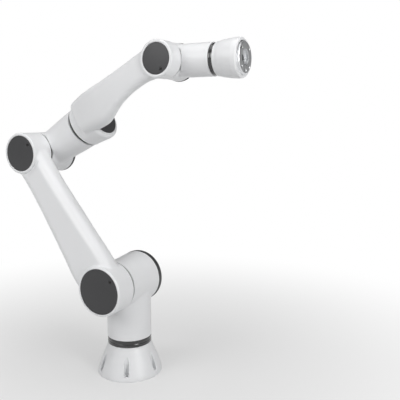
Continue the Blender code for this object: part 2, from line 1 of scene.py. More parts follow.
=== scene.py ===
"""Finished looks for a six-axis collaborative robot arm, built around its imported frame.

Each casting is fused from plain solids, softened as a mould would leave it, and then machined:
its joint faces, cover seats and bores are cut crisp. Turned pieces come from rounded outlines.
"""

import json
import math

import bpy
import bmesh
from mathutils import Matrix, Vector


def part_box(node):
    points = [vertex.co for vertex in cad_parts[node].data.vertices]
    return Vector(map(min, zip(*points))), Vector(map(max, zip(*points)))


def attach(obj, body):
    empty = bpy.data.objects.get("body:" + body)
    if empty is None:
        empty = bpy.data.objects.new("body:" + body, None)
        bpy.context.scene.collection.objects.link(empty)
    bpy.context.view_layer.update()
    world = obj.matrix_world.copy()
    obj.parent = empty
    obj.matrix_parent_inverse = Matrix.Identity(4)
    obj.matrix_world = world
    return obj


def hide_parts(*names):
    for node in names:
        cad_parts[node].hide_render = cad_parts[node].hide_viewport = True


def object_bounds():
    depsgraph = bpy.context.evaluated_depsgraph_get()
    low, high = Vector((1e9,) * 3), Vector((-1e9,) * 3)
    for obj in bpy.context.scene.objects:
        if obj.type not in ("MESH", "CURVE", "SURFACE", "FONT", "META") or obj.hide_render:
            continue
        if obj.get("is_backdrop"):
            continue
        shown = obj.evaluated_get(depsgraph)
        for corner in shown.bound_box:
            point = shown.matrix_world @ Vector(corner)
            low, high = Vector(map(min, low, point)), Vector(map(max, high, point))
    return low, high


bl_info = {
    "name": "Robot Arm Looks",
    "version": (1, 0, 0),
    "blender": (4, 5, 0),
    "location": "3D View > Sidebar > Robot Arm",
    "description": "Builds the castings, covers, rings and flange of a collaborative robot arm",
    "category": "Object",
}

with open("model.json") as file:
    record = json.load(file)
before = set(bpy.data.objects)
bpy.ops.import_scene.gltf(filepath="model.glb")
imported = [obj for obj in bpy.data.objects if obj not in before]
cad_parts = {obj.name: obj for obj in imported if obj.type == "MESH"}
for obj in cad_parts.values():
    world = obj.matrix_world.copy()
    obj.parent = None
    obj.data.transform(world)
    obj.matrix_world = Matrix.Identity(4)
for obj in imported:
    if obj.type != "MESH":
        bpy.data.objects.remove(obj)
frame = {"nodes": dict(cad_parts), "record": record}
CAD_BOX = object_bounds()

JOINTS = {joint["name"]: joint for joint in frame["record"]["behaviour"]["joints"]}
ACROSS = Matrix.Rotation(math.radians(-90), 4, "X")
GAP = 0.0003
WALL = 0.0050
OVERRUN = 0.0140
FINE_TURN = 160
SMALL_TURN = 32
CREASE = 32


def joint_place(name):
    return Vector(JOINTS[name]["pos_m"])


def frame_at(origin, along):
    """A frame with Z along a line in the arm's own plane, and Y across the arm."""
    z_axis = Vector(along).normalized()
    x_axis = Vector((0, 1, 0)).cross(z_axis).normalized()
    placed = Matrix((x_axis, z_axis.cross(x_axis), z_axis)).transposed().to_4x4()
    placed.translation = origin
    return placed


SHOULDER = joint_place("joint2_swing")
ELBOW = joint_place("joint3_bend")
WRIST = joint_place("joint5_bend")
ROLL_OFFSET = joint_place("joint4_roll").y

UPRIGHT = Matrix.Identity(4)
SHOULDER_FRAME = Matrix.Translation(SHOULDER)
UPPER_FRAME = frame_at(SHOULDER, ELBOW - SHOULDER)
FOREARM_FRAME = frame_at(ELBOW, WRIST - ELBOW)
WRIST_FRAME = frame_at(WRIST, JOINTS["joint6_roll"]["axis"])

UPPER_LENGTH = (ELBOW - SHOULDER).length
FOREARM_LENGTH = (WRIST - ELBOW).length


def near_y(node):
    """Where a node begins across the arm, on the side of the round covers."""
    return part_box(node)[0].y


def far_y(node):
    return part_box(node)[1].y


def half_height(node):
    """The radius of a node turned about a line across the arm."""
    low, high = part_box(node)
    return (high.z - low.z) / 2


def span_along(node, placed):
    """The lowest and highest place of a node along the Z of a frame."""
    flat = placed.inverted()
    heights = [(flat @ vertex.co).z for vertex in frame["nodes"][node].data.vertices]
    return min(heights), max(heights)


# Joint planes and radii, read from the frame.
ARM_NEAR = near_y("shoulder_cap")
ARM_REAR = near_y("joint2_ring") - GAP
SHOULDER_NEAR = far_y("joint2_ring") + GAP
SHOULDER_FAR = near_y("shoulder_far_cap") - GAP
ELBOW_CAP_NEAR = near_y("elbow_cap")
ELBOW_ARM_REAR = near_y("joint3_ring") - GAP
ELBOW_NEAR = far_y("joint3_ring") + GAP
ELBOW_FAR = near_y("elbow_far_cap") - GAP
WRIST_CAP_NEAR = near_y("wrist_cap")
WRIST_ARM_REAR = near_y("joint5_ring") - GAP
WRIST_NEAR = far_y("joint5_ring") + GAP
WRIST_FAR = near_y("wrist_far_cap") - GAP
RING_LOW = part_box("joint1_ring")[0].z - GAP
RING_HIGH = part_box("joint1_ring")[1].z + GAP
TUBE_END = span_along("joint4_ring", FOREARM_FRAME)[0] - GAP
FOREARM_START = span_along("joint4_ring", FOREARM_FRAME)[1] + GAP
FOREARM_CAP_TOP = span_along("forearm_end_cap", FOREARM_FRAME)[1]
BARREL_END = FOREARM_CAP_TOP - 0.0020
WRIST_TUBE_END = span_along("joint6_ring", WRIST_FRAME)[0] - GAP
FLANGE_START = span_along("joint6_ring", WRIST_FRAME)[1] + GAP
FLANGE_REACH = span_along("tool_flange", WRIST_FRAME)[1]
FLANGE_BACK = span_along("tool_flange", WRIST_FRAME)[0]
HOUSING_FRONT = span_along("flange_housing", WRIST_FRAME)[1]

BASE_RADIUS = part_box("base_casting")[1].x
NECK_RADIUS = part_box("joint1_ring")[1].x + GAP
SHOULDER_CAP_RADIUS = half_height("shoulder_cap")
ELBOW_CAP_RADIUS = half_height("elbow_cap")
WRIST_CAP_RADIUS = half_height("wrist_cap")
SHOULDER_FAR_RADIUS = half_height("shoulder_far_cap")
ELBOW_FAR_RADIUS = half_height("elbow_far_cap")
WRIST_FAR_RADIUS = half_height("wrist_far_cap")

# Radii and rims of the castings, and the bores that their drives need.
SHOULDER_RIM = 0.0540
SHOULDER_FAR_RIM = 0.0595
ARM_SHOULDER_RADIUS = 0.0562
ARM_ELBOW_RADIUS = 0.0480
ELBOW_RADIUS = 0.0480
ELBOW_TUBE_RADIUS = 0.0470
BARREL_RADIUS = 0.0510
BELLY_RADIUS = 0.0525
BELLY_DROP = 0.0038
BARREL_CAP_RADIUS = 0.0430
BARREL_ROUNDING = 0.0085
COVER_RIM = 0.0034
FOREARM_WRIST_RADIUS = 0.0385
WRIST_RADIUS = 0.0375
WRIST_TUBE_RADIUS = 0.0345
BELL_RADIUS = 0.0403
FLANGE_RADIUS = 0.0330
ARM_SHOULDER_BORE = 0.0460
ARM_ELBOW_BORE = 0.0390
ELBOW_TUBE_BORE = 0.0412
BARREL_BORE = 0.0432
FOREARM_WRIST_BORE = 0.0295
FLANGE_BORE = 0.0295
PILOT_RADIUS = 0.01575
FLANGE_BOLTS = 0.0250

# Dimmest level of the even light, as a share of its level at the horizon.
ZENITH_LEVEL = 0.10

# Foot slots.
SLOT_COUNT = 6
SLOT_TURN = -61.5
SLOT_WIDTH = 0.0105
SLOT_FLOOR = 0.0110
SLOT_BACK = 0.0575
BOLT_CIRCLE = 0.0645
BOLT_HOLE = 0.0033
SOCKET_TURN = 88.5
SOCKET_HEIGHT = 0.0330
SOCKET_SEAT = 0.0630


class ArmLooks(bpy.types.PropertyGroup):
    """Colours and finish of the arm, and how its castings are softened."""

    paint_colour: bpy.props.FloatVectorProperty(
        name="Paint", description="Colour of the painted castings", subtype="COLOR",
        default=(0.74, 0.745, 0.755), min=0, max=1)
    cover_colour: bpy.props.FloatVectorProperty(
        name="Covers", description="Colour of the round plastic covers", subtype="COLOR",
        default=(0.036, 0.036, 0.038), min=0, max=1)
    ring_colour: bpy.props.FloatVectorProperty(
        name="Rings", description="Colour of the polished rings in the joint grooves", subtype="COLOR",
        default=(0.020, 0.020, 0.021), min=0, max=1)
    metal_colour: bpy.props.FloatVectorProperty(
        name="Bare metal", description="Colour of the turned aluminium", subtype="COLOR",
        default=(0.72, 0.73, 0.74), min=0, max=1)
    paint_roughness: bpy.props.FloatProperty(
        name="Paint roughness", description="Roughness of the paint before its fine variation",
        subtype="FACTOR", default=0.40, min=0, max=1)
    casting_grain: bpy.props.FloatProperty(
        name="Casting grain", description="Size of the facets that a casting is fused from",
        subtype="DISTANCE", unit="LENGTH", default=0.0013, min=0.0006, max=0.004, precision=4)
    softening: bpy.props.IntProperty(
        name="Softening", description="Rounds of smoothing that fillet the inside corners of a casting",
        default=36, min=1, max=200)
    rim_fillet: bpy.props.FloatProperty(
        name="Rim fillet", description="Rounding of the machined rim at a joint face",
        subtype="DISTANCE", unit="LENGTH", default=0.0010, min=0.0002, max=0.003, precision=4)


class StageLooks(bpy.types.PropertyGroup):
    """The floor, the lamps and the camera."""

    floor_colour: bpy.props.FloatVectorProperty(
        name="Floor", description="Colour of the floor round the foot", subtype="COLOR",
        default=(0.60, 0.60, 0.60), min=0, max=1)
    overhead_power: bpy.props.FloatProperty(
        name="Overhead lamp", description="Power of the soft lamp above the arm", unit="POWER",
        default=54.0, min=0)
    front_power: bpy.props.FloatProperty(
        name="Front lamp", description="Power of the soft lamp in front of the arm", unit="POWER",
        default=25.0, min=0)
    side_power: bpy.props.FloatProperty(
        name="Side lamp", description="Power of the tall lamp beside the wrist", unit="POWER",
        default=21.0, min=0)
    ambient: bpy.props.FloatProperty(
        name="Ambient", description="Strength of the even light from all round", default=0.35, min=0)
    sky_falloff: bpy.props.FloatProperty(
        name="Sky falloff", description="How fast the even light dims towards the zenith", default=0.9, min=0)
    azimuth: bpy.props.FloatProperty(
        name="Azimuth", description="Turn of the camera round the arm", subtype="ANGLE",
        default=math.radians(28.3))
    elevation: bpy.props.FloatProperty(
        name="Elevation", description="Height angle of the camera", subtype="ANGLE",
        default=math.radians(8.15))
    distance: bpy.props.FloatProperty(
        name="Distance", description="Camera to aim point", unit="LENGTH", default=1.273)
    aim_side: bpy.props.FloatProperty(
        name="Aim side", description="Aim point to the right of the foot's axis", unit="LENGTH",
        default=0.1672)
    aim_height: bpy.props.FloatProperty(
        name="Aim height", description="Aim point above the floor", unit="LENGTH", default=0.4079)
    lens: bpy.props.FloatProperty(
        name="Lens", description="Focal length", subtype="DISTANCE_CAMERA", unit="CAMERA", default=49.9)


# ---------------------------------------------------------------- outlines and solids


def rounded(corners, steps=6):
    """A turned outline: (radius, height) corners, each with an optional fillet as a third number."""
    outline = []
    count = len(corners)
    for index, corner in enumerate(corners):
        point = Vector(corner[:2])
        if len(corner) == 2:
            outline.append(point)
            continue
        before = Vector(corners[index - 1][:2]) - point
        after = Vector(corners[(index + 1) % count][:2]) - point
        half = before.angle(after) / 2
        reach = min(corner[2] / math.tan(half), before.length * 0.49, after.length * 0.49)
        start = point + before.normalized() * reach
        end = point + after.normalized() * reach
        middle = (before.normalized() + after.normalized()).normalized()
        centre = point + middle * (reach / math.cos(half))
        radius = (start - centre).length
        for step in range(steps + 1):
            outline.append(centre + (start - centre).slerp(end - centre, step / steps) * radius)
    return outline


def turned(corners, place=UPRIGHT, ring=True, segments=FINE_TURN):
    """A shape turned about the Z of its place, from its rounded outline."""
    shape = bmesh.new()
    outline = rounded(corners)
    points = [shape.verts.new((radius, 0, height)) for radius, height in outline]
    pairs = list(zip(points, points[1:]))
    if ring:
        pairs.append((points[-1], points[0]))
    edges = [shape.edges.new(pair) for pair in pairs]
    bmesh.ops.spin(shape, geom=points + edges, axis=(0, 0, 1), cent=(0, 0, 0),
                   steps=segments, angle=math.tau, use_merge=True)
    bmesh.ops.remove_doubles(shape, verts=shape.verts, dist=0.000002)
    bmesh.ops.recalc_face_normals(shape, faces=shape.faces)
    shape.transform(place)
    return shape


def drum(radius, low, high, place=UPRIGHT, segments=FINE_TURN):
    """A plain round bar."""
    return turned([(0, high), (radius, high), (radius, low), (0, low)], place, False, segments)


def spoke(turn, reach=0.0):
    """A place turned about Z by an angle in degrees, and moved out along the turned X."""
    return Matrix.Rotation(math.radians(turn), 4, "Z") @ Matrix.Translation((reach, 0, 0))


def across(x=0.0, z=0.0, y=0.0):
    """The place of a shape turned about a line across the arm."""
    return Matrix.Translation((x, y, z)) @ ACROSS


def section(x_low, x_high, y_low, y_high, radius, steps=8):
    """The outline of a rectangle with round corners."""
    corners = (
        (x_high - radius, y_high - radius, 0),
        (x_low + radius, y_high - radius, 90),
        (x_low + radius, y_low + radius, 180),
        (x_high - radius, y_low + radius, 270),
    )
    outline = []
    for centre_x, centre_y, start in corners:
        for step in range(steps + 1):
            angle = math.radians(start + 90 * step / steps)
            outline.append((centre_x + radius * math.cos(angle), centre_y + radius * math.sin(angle)))
    return outline


def between(before, start, end, after, share):
    """A value on the smooth curve between two stations, given their neighbours."""
    slope_start = (end - before) / 2
    slope_end = (after - start) / 2
    square = share * share
    cube = square * share
    return ((2 * cube - 3 * square + 1) * start + (cube - 2 * square + share) * slope_start
            + (3 * square - 2 * cube) * end + (cube - square) * slope_end)


def blended(stations, steps=8):
    """More stations, on smooth curves through the given ones."""
    last = len(stations) - 1
    made = []
    for index in range(last):
        rows = (stations[max(index - 1, 0)], stations[index],
                stations[index + 1], stations[min(index + 2, last)])
        for step in range(steps):
            made.append([between(*values, step / steps) for values in zip(*rows)])
    made.append(list(stations[-1]))
    return made


def lofted(stations, inset=0.0, place=UPRIGHT, smooth=True):
    """A skin through round-cornered sections (height, x_low, x_high, y_low, y_high, radius)."""
    shape = bmesh.new()
    rings = []
    for height, x_low, x_high, y_low, y_high, radius in blended(stations) if smooth else stations:
        corner = max(radius - inset, 0.0015)
        outline = section(x_low + inset, x_high - inset, y_low + inset, y_high - inset, corner)
        rings.append([shape.verts.new((x, y, height)) for x, y in outline])
    count = len(rings[0])
    for lower, upper in zip(rings, rings[1:]):
        for index in range(count):
            after = (index + 1) % count
            shape.faces.new((lower[index], lower[after], upper[after], upper[index]))
    shape.faces.new(list(reversed(rings[0])))
    shape.faces.new(rings[-1])
    bmesh.ops.recalc_face_normals(shape, faces=shape.faces)
    shape.transform(place)
    return shape


def rim_cutter(radius, plane, side, fillet, reach, place, depth=0.08):
    """What a lathe takes off at a joint face: all beyond the plane, and a rounded rim."""
    ledge = plane - side * fillet
    corners = [
        (0, plane),
        (radius - fillet, plane),
        *((radius - fillet + fillet * math.sin(angle), ledge + side * fillet * math.cos(angle))
          for angle in (math.radians(15 * step) for step in range(1, 6))),
        (radius, ledge),
        (radius + reach, ledge),
        (radius + reach, plane + side * depth),
        (0, plane + side * depth),
    ]
    return turned(corners, place, ring=False)


def seat_cutter(radius, floor, face, side, place, lip=0.0005):
    """The recess of a round cover, with a softened lip at the face."""
    beyond = face + side * 0.02
    corners = [
        (0, floor),
        (radius, floor),
        (radius, face - side * lip),
        (radius + lip * 0.3, face - side * lip * 0.3),
        (radius + lip, face),
        (radius + lip, beyond),
        (0, beyond),
    ]
    return turned(corners, place, ring=False)


# ---------------------------------------------------------------- pieces


def piece_from(name, shape, placed):
    """An object in the scene from a bmesh, which is freed."""
    mesh = bpy.data.meshes.new(name)
    shape.to_mesh(mesh)
    shape.free()
    piece = bpy.data.objects.new(name, mesh)
    bpy.context.scene.collection.objects.link(piece)
    piece.matrix_world = placed
    return piece


def settle(piece):
    """Turn a piece's modifiers into its mesh."""
    bpy.context.view_layer.update()
    graph = bpy.context.evaluated_depsgraph_get()
    mesh = bpy.data.meshes.new_from_object(piece.evaluated_get(graph))
    before = piece.data
    piece.modifiers.clear()
    piece.data = mesh
    bpy.data.meshes.remove(before)
    mesh.name = piece.name


def discard(tool):
    mesh = tool.data
    bpy.data.objects.remove(tool)
    bpy.data.meshes.remove(mesh)


def cut(piece, *shapes):
    """Cut shapes, given in a piece's own frame, out of it."""
    tools = []
    for shape in shapes:
        tool = piece_from("tool", shape, piece.matrix_world)
        step = piece.modifiers.new("step", "BOOLEAN")
        step.operation = "DIFFERENCE"
        step.solver = "MANIFOLD"
        step.object = tool
        tools.append(tool)
    settle(piece)
    for tool in tools:
        discard(tool)


def spared(cutter, kept):
    """A cutter less the shape that it must leave whole."""
    tool = piece_from("tool", cutter, UPRIGHT)
    cut(tool, kept)
    left = bmesh.new()
    left.from_mesh(tool.data)
    discard(tool)
    return left


def fuse(piece, grain):
    """Remesh a piece into one skin of even facets."""
    step = piece.modifiers.new("fuse", "REMESH")
    step.mode = "VOXEL"
    step.voxel_size = grain


def casting(name, placed, shapes, grain=None, rounds=None, pockets=()):
    """One casting: overlapping solids fused into one skin, with any pockets cut, and softened."""
    looks = bpy.context.scene.arm_looks
    whole = bmesh.new()
    for shape in shapes:
        mesh = bpy.data.meshes.new("solid")
        shape.to_mesh(mesh)
        shape.free()
        whole.from_mesh(mesh)
        bpy.data.meshes.remove(mesh)
    piece = piece_from(name, whole, placed)
    fuse(piece, grain or looks.casting_grain)
    if pockets:
        settle(piece)
        cut(piece, *pockets)
        fuse(piece, grain or looks.casting_grain)
    soften = piece.modifiers.new("soften", "SMOOTH")
    soften.factor = 0.5
    soften.iterations = rounds or looks.softening
    settle(piece)
    return piece


def finished(piece, slot, body, *nodes, lathe=False):
    """Shade a piece, give it its finish, and set it on its body in place of CAD nodes.

    A lathe piece keeps its own frame, since its finish has rings round its own Z.
    """
    if not piece.data.polygons:
        raise RuntimeError(f"{piece.name} came out empty")
    if not lathe:
        piece.data.transform(piece.matrix_world)
        piece.matrix_world = Matrix.Identity(4)
    piece.data.shade_smooth()
    piece.data.set_sharp_from_angle(angle=math.radians(CREASE))
    piece.data.materials.clear()
    piece.data.materials.append(finishes()[slot])
    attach(piece, body)
    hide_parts(*nodes)


def turned_piece(name, corners, placed, place=UPRIGHT, ring=True, segments=FINE_TURN):
    return piece_from(name, turned(corners, place, ring, segments), placed)


# ---------------------------------------------------------------- materials


class Value:
    """A socket that varies over a surface. Arithmetic on it adds Math nodes."""

    def __init__(self, nodes, socket):
        self.nodes = nodes
        self.socket = socket

    def math(self, operation, *values):
        inputs = dict(enumerate(values))
        return self.nodes.node("ShaderNodeMath", {"operation": operation}, inputs)["Value"]

    def at_least(self, other):
        return self.math("MAXIMUM", self, other)

    def __add__(self, other):
        return self.math("ADD", self, other)

    def __sub__(self, other):
        return self.math("SUBTRACT", self, other)

    def __rsub__(self, other):
        return self.math("SUBTRACT", other, self)

    def __mul__(self, other):
        return self.math("MULTIPLY", self, other)

    def __pow__(self, other):
        return self.math("POWER", self, other)

    __radd__ = __add__
    __rmul__ = __mul__


def set_stops(elements, stops):
    """Place the two ends of a ramp, each a (place, level)."""
    for element, (place, level) in zip(elements, stops):
        element.position = place
        element.color = (level, level, level, 1)


class Nodes:
    """A node tree under construction."""

    def __init__(self, tree):
        self.tree = tree

    def node(self, kind, settings, inputs):
        """Any node: its type, its settings or a ramp's stops, and the values or links of its sockets."""
        made = self.tree.nodes.new(kind)
        for key, value in settings.items():
            if key == "stops":
                set_stops(made.color_ramp.elements, value)
            else:
                setattr(made, key, value)
        for key, value in inputs.items():
            if isinstance(key, int):
                socket = made.inputs[key]
            else:
                socket = next(one for one in made.inputs if one.name == key and one.enabled)
            if isinstance(value, Value):
                self.tree.links.new(value.socket, socket)
            else:
                socket.default_value = value
        return {one.name: Value(self, one) for one in made.outputs if one.enabled}


class Finish(Nodes):
    """A material under construction: its nodes and its main shader."""

    def __init__(self, name, constants):
        self.material = bpy.data.materials.new(name)
        self.material.use_nodes = True
        super().__init__(self.material.node_tree)
        self.shader = self.tree.nodes["Principled BSDF"]
        for socket, value in constants.items():
            self.shader.inputs[socket].default_value = value

    def ramp(self, value, start, end):
        """A mask that rises from black to white between two levels of a value."""
        stops = ((start, 0.0), (end, 1.0))
        return self.node("ShaderNodeValToRGB", {"stops": stops}, {"Fac": value})["Color"]

    def place(self):
        return self.node("ShaderNodeTexCoord", {}, {})["Object"]

    def noise(self, vector, scale, detail=2.0):
        inputs = {"Vector": vector, "Scale": scale, "Detail": detail}
        return self.node("ShaderNodeTexNoise", {}, inputs)["Fac"]

    def turning_lines(self):
        """Coordinates that only change across the rings left by a lathe round the piece's own Z."""
        parts = self.node("ShaderNodeSeparateXYZ", {}, {"Vector": self.place()})
        radius = (parts["X"] ** 2 + parts["Y"] ** 2) ** 0.5
        return self.node("ShaderNodeCombineXYZ", {}, {"X": radius, "Y": parts["Z"]})["Vector"]

    def stretched(self, vector, scale):
        """Coordinates scaled apart along each axis."""
        return self.node("ShaderNodeVectorMath", {"operation": "MULTIPLY"}, {0: vector, 1: scale})["Vector"]

    def tinted(self, mask, dark, light):
        """A colour between two, by a mask."""
        mix = {"Factor": mask, "A": (*dark, 1), "B": (*light, 1)}
        return self.node("ShaderNodeMix", {"data_type": "RGBA"}, mix)["Result"]

    def bump(self, height, strength, distance):
        inputs = {"Height": height, "Strength": strength, "Distance": distance}
        return self.node("ShaderNodeBump", {}, inputs)["Normal"]

    def feed(self, colour, roughness, normal):
        """Link what varies over the surface to the main shader."""
        fed = {"Base Color": colour, "Roughness": roughness, "Normal": normal}
        for socket, value in fed.items():
            self.tree.links.new(value.socket, self.shader.inputs[socket])
        return self.material


def shade(colour, level):
    """A colour made lighter or darker, kept under white."""
    return tuple(min(channel * level, 0.98) for channel in colour)


def paint_finish():
    """Satin enamel: a breath of tone variation, a fine orange peel and a painted highlight that makes sharp
    edges a little lighter.
    """
    looks = bpy.context.scene.arm_looks
    finish = Finish("arm_white_paint", {"Coat Weight": 0.06, "Coat Roughness": 0.25})
    place = finish.place()
    cloud = finish.noise(place, 7.0, 3.0)
    peel = finish.noise(place, 620.0, 2.0)
    dust = finish.noise(place, 2400.0, 1.0)
    # Painted highlight: sharp convex edges, found by their pointiness, are tinted a little lighter, as if
    # they caught the light.
    edge = finish.ramp(finish.node("ShaderNodeNewGeometry", {}, {})["Pointiness"], 0.50, 0.60)
    colour = finish.tinted(cloud * 0.8 + edge * 0.2, shade(looks.paint_colour, 0.985),
                           shade(looks.paint_colour, 1.015))
    roughness = cloud * 0.05 + dust * 0.03 + (looks.paint_roughness - 0.04)
    return finish.feed(colour, roughness, finish.bump(peel, 0.05, 0.0002))


def cover_finish():
    """Moulded charcoal plastic with a fine spark-eroded grain."""
    looks = bpy.context.scene.arm_looks
    finish = Finish("arm_charcoal_plastic", {"Specular IOR Level": 0.45})
    place = finish.place()
    grain = finish.noise(place, 1500.0, 2.0)
    cloud = finish.noise(place, 22.0, 3.0)
    colour = finish.tinted(cloud * 0.7 + grain * 0.3, shade(looks.cover_colour, 0.85),
                           shade(looks.cover_colour, 1.20))
    return finish.feed(colour, cloud * 0.08 + grain * 0.06 + 0.36, finish.bump(grain, 0.18, 0.0002))


def turned_metal(name, colour, roughness, line_scale=2600.0, depth=0.12):
    """Metal with the fine rings of a lathe round its own Z."""
    finish = Finish(name, {"Metallic": 1.0})
    groove = finish.noise(finish.turning_lines(), line_scale, 1.0)
    cloud = finish.noise(finish.place(), 35.0, 3.0)
    tone = finish.tinted(groove * 0.6 + cloud * 0.4, shade(colour, 0.86), shade(colour, 1.10))
    varied = groove * 0.10 + cloud * 0.06 + (roughness - 0.08)
    return finish.feed(tone, varied, finish.bump(groove, depth, 0.0002))


def ring_finish():
    """Black-anodised and polished, with faint turning lines."""
    looks = bpy.context.scene.arm_looks
    finish = Finish("arm_dark_ring", {"Coat Weight": 0.6, "Coat Roughness": 0.08})
    groove = finish.noise(finish.turning_lines(), 1500.0, 1.0)
    cloud = finish.noise(finish.place(), 60.0, 3.0)
    colour = finish.tinted(groove * 0.6 + cloud * 0.4, shade(looks.ring_colour, 0.7),
                           shade(looks.ring_colour, 1.4))
    return finish.feed(colour, groove * 0.08 + cloud * 0.06 + 0.14, finish.bump(groove, 0.05, 0.0002))


def black_oxide():
    """Screw heads and sockets."""
    finish = Finish("arm_black_screw", {"Metallic": 0.6})
    place = finish.place()
    cloud = finish.noise(place, 300.0, 3.0)
    colour = finish.tinted(cloud, (0.020, 0.020, 0.020), (0.050, 0.048, 0.045))
    return finish.feed(colour, cloud * 0.15 + 0.30, finish.bump(cloud, 0.1, 0.0002))


def moulded_black():
    """The connector's insulator."""
    finish = Finish("arm_connector_black", {})
    place = finish.place()
    grain = finish.noise(place, 900.0, 2.0)
    colour = finish.tinted(grain, (0.022, 0.022, 0.023), (0.040, 0.040, 0.042))
    return finish.feed(colour, grain * 0.12 + 0.42, finish.bump(grain, 0.15, 0.0002))


def wound_stator():
    """Laminated iron with copper showing through in bands."""
    finish = Finish("arm_stator", {"Metallic": 0.7})
    place = finish.place()
    layers = finish.noise(finish.stretched(place, (60.0, 900.0, 900.0)), 1.0, 1.0)
    band = finish.ramp(finish.noise(place, 90.0, 1.0), 0.45, 0.55)
    colour = finish.tinted(band, (0.28, 0.27, 0.26), (0.52, 0.24, 0.11))
    return finish.feed(colour, layers * 0.2 + 0.35, finish.bump(layers, 0.2, 0.0003))


def finishes():
    """Every finish of the arm, made once, by the record's slot names."""
    if not FINISHES:
        looks = bpy.context.scene.arm_looks
        FINISHES.update({
            "white_paint": paint_finish(),
            "charcoal_plastic": cover_finish(),
            "dark_ring": ring_finish(),
            "machined_aluminium": turned_metal("arm_machined_aluminium", looks.metal_colour, 0.30),
            "bearing_steel": turned_metal("arm_bearing_steel", (0.55, 0.56, 0.58), 0.28),
            "stator_iron": wound_stator(),
            "black_screw": black_oxide(),
            "connector_black": moulded_black(),
        })
    return FINISHES


FINISHES = {}


# ---------------------------------------------------------------- castings


def make_foot():
    """The conical foot: six softened screw slots, a crisp neck rim and a seat for the cable socket."""
    cone = turned([
        (0, RING_LOW + OVERRUN),
        (NECK_RADIUS, RING_LOW + OVERRUN),
        (NECK_RADIUS, RING_LOW - 0.004, 0.010),
        (0.0582, 0.0510, 0.020),
        (0.0645, 0.0370, 0.030),
        (0.0692, 0.0240, 0.030),
        (0.0738, 0.0110, 0.012),
        (BASE_RADIUS, 0.0040, 0.003),
        (BASE_RADIUS, -0.006),
        (0, -0.006),
    ], ring=False)
    half = SLOT_WIDTH / 2
    sides = (SLOT_BACK, 0.095, -half, half, half - 0.0002)
    slots = []
    holes = []
    for index in range(SLOT_COUNT):
        turn = SLOT_TURN + index * 360 / SLOT_COUNT
        slots.append(lofted([(SLOT_FLOOR, *sides), (0.070, *sides)], place=spoke(turn), smooth=False))
        holes.append(drum(BOLT_HOLE, -0.01, 0.03, spoke(turn, BOLT_CIRCLE), SMALL_TURN))
    foot = casting("foot_body", UPRIGHT, [cone], grain=0.0009, rounds=4, pockets=slots)
    floor_cut = rim_cutter(BASE_RADIUS, 0.0, -1, 0.0008, 0.02, UPRIGHT)
    neck_cut = rim_cutter(NECK_RADIUS, RING_LOW, 1, 0.0008, 0.02, UPRIGHT)
    plate_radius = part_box("base_bottom_plate")[1].x
    plate_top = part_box("base_bottom_plate")[1].z
    plate_seat = drum(plate_radius + GAP, -0.02, plate_top + GAP)
    bore = drum(NECK_RADIUS - 0.006, -0.02, 0.1)
    outward = spoke(SOCKET_TURN) @ Matrix.Rotation(math.radians(90), 4, "Y")
    socket_frame = Matrix.Translation((0, 0, SOCKET_HEIGHT)) @ outward
    flat_sides = (-0.012, 0.012, -0.012, 0.012, 0.003)
    flat = lofted([(SOCKET_SEAT, *flat_sides), (0.1, *flat_sides)], place=socket_frame, smooth=False)
    socket_bore = drum(0.0085, 0.040, 0.070, socket_frame, SMALL_TURN)
    cut(foot, floor_cut, neck_cut, plate_seat, bore, flat, socket_bore, *holes)
    finished(foot, "white_paint", "base", "base_casting")
    make_socket(socket_frame)
    make_floor_plate(plate_radius, plate_top)


def make_floor_plate(radius, top):
    """The round plate that closes the foot, with countersunk screw holes."""
    plate = turned_piece("foot_floor_plate", [
        (0, top), (radius, top, 0.0004), (radius, 0, 0.0006), (0, 0),
    ], UPRIGHT, ring=False)
    sinks = []
    for index in range(4):
        sinks.append(turned([
            (0, 0.0025), (0.0016, 0.0025), (0.0034, -0.0001), (0.0034, -0.002), (0, -0.002),
        ], spoke(45 + index * 90, radius * 0.86), False, SMALL_TURN))
    cut(plate, *sinks)
    finished(plate, "machined_aluminium", "base", "base_bottom_plate")


def make_socket(placed):
    """The round cable socket at the rear of the foot, with its insert and pin holes."""
    face = SOCKET_SEAT + GAP
    outer = 0.0095
    corners = [
        (outer - 0.0006, face + 0.0090, 0.0003),
        (outer, face + 0.0084, 0.0003),
        (outer, face + 0.0030, 0.0002),
        (0.0115, face + 0.0030, 0.0006),
        (0.0115, face, 0.0002),
        (0.0080, face),
        (0.0080, face - 0.0100),
        (0.0068, face - 0.0100),
        (0.0068, face + 0.0090, 0.0004),
    ]
    shell = turned_piece("cable_socket_shell", corners, placed, segments=64)
    grooves = []
    for step in range(4):
        height = face + 0.0042 + 0.0011 * step
        grooves.append(turned([(outer + 0.001, height + 0.0008), (outer + 0.001, height - 0.0002),
                               (outer - 0.0003, height + 0.0003)], segments=64))
    cut(shell, *grooves)
    finished(shell, "machined_aluminium", "base", "power_socket")
    insert = turned_piece("cable_socket_insert", [
        (0, face), (0.0065, face, 0.0003), (0.0065, face - 0.0090), (0, face - 0.0090),
    ], placed, ring=False, segments=64)
    pin_holes = []
    for step in range(5):
        pin_holes.append(drum(0.0008, face - 0.003, face + 0.01, spoke(step * 72, 0.0038), 20))
    cut(insert, *pin_holes)
    finished(insert, "connector_black", "base", "socket_insert")


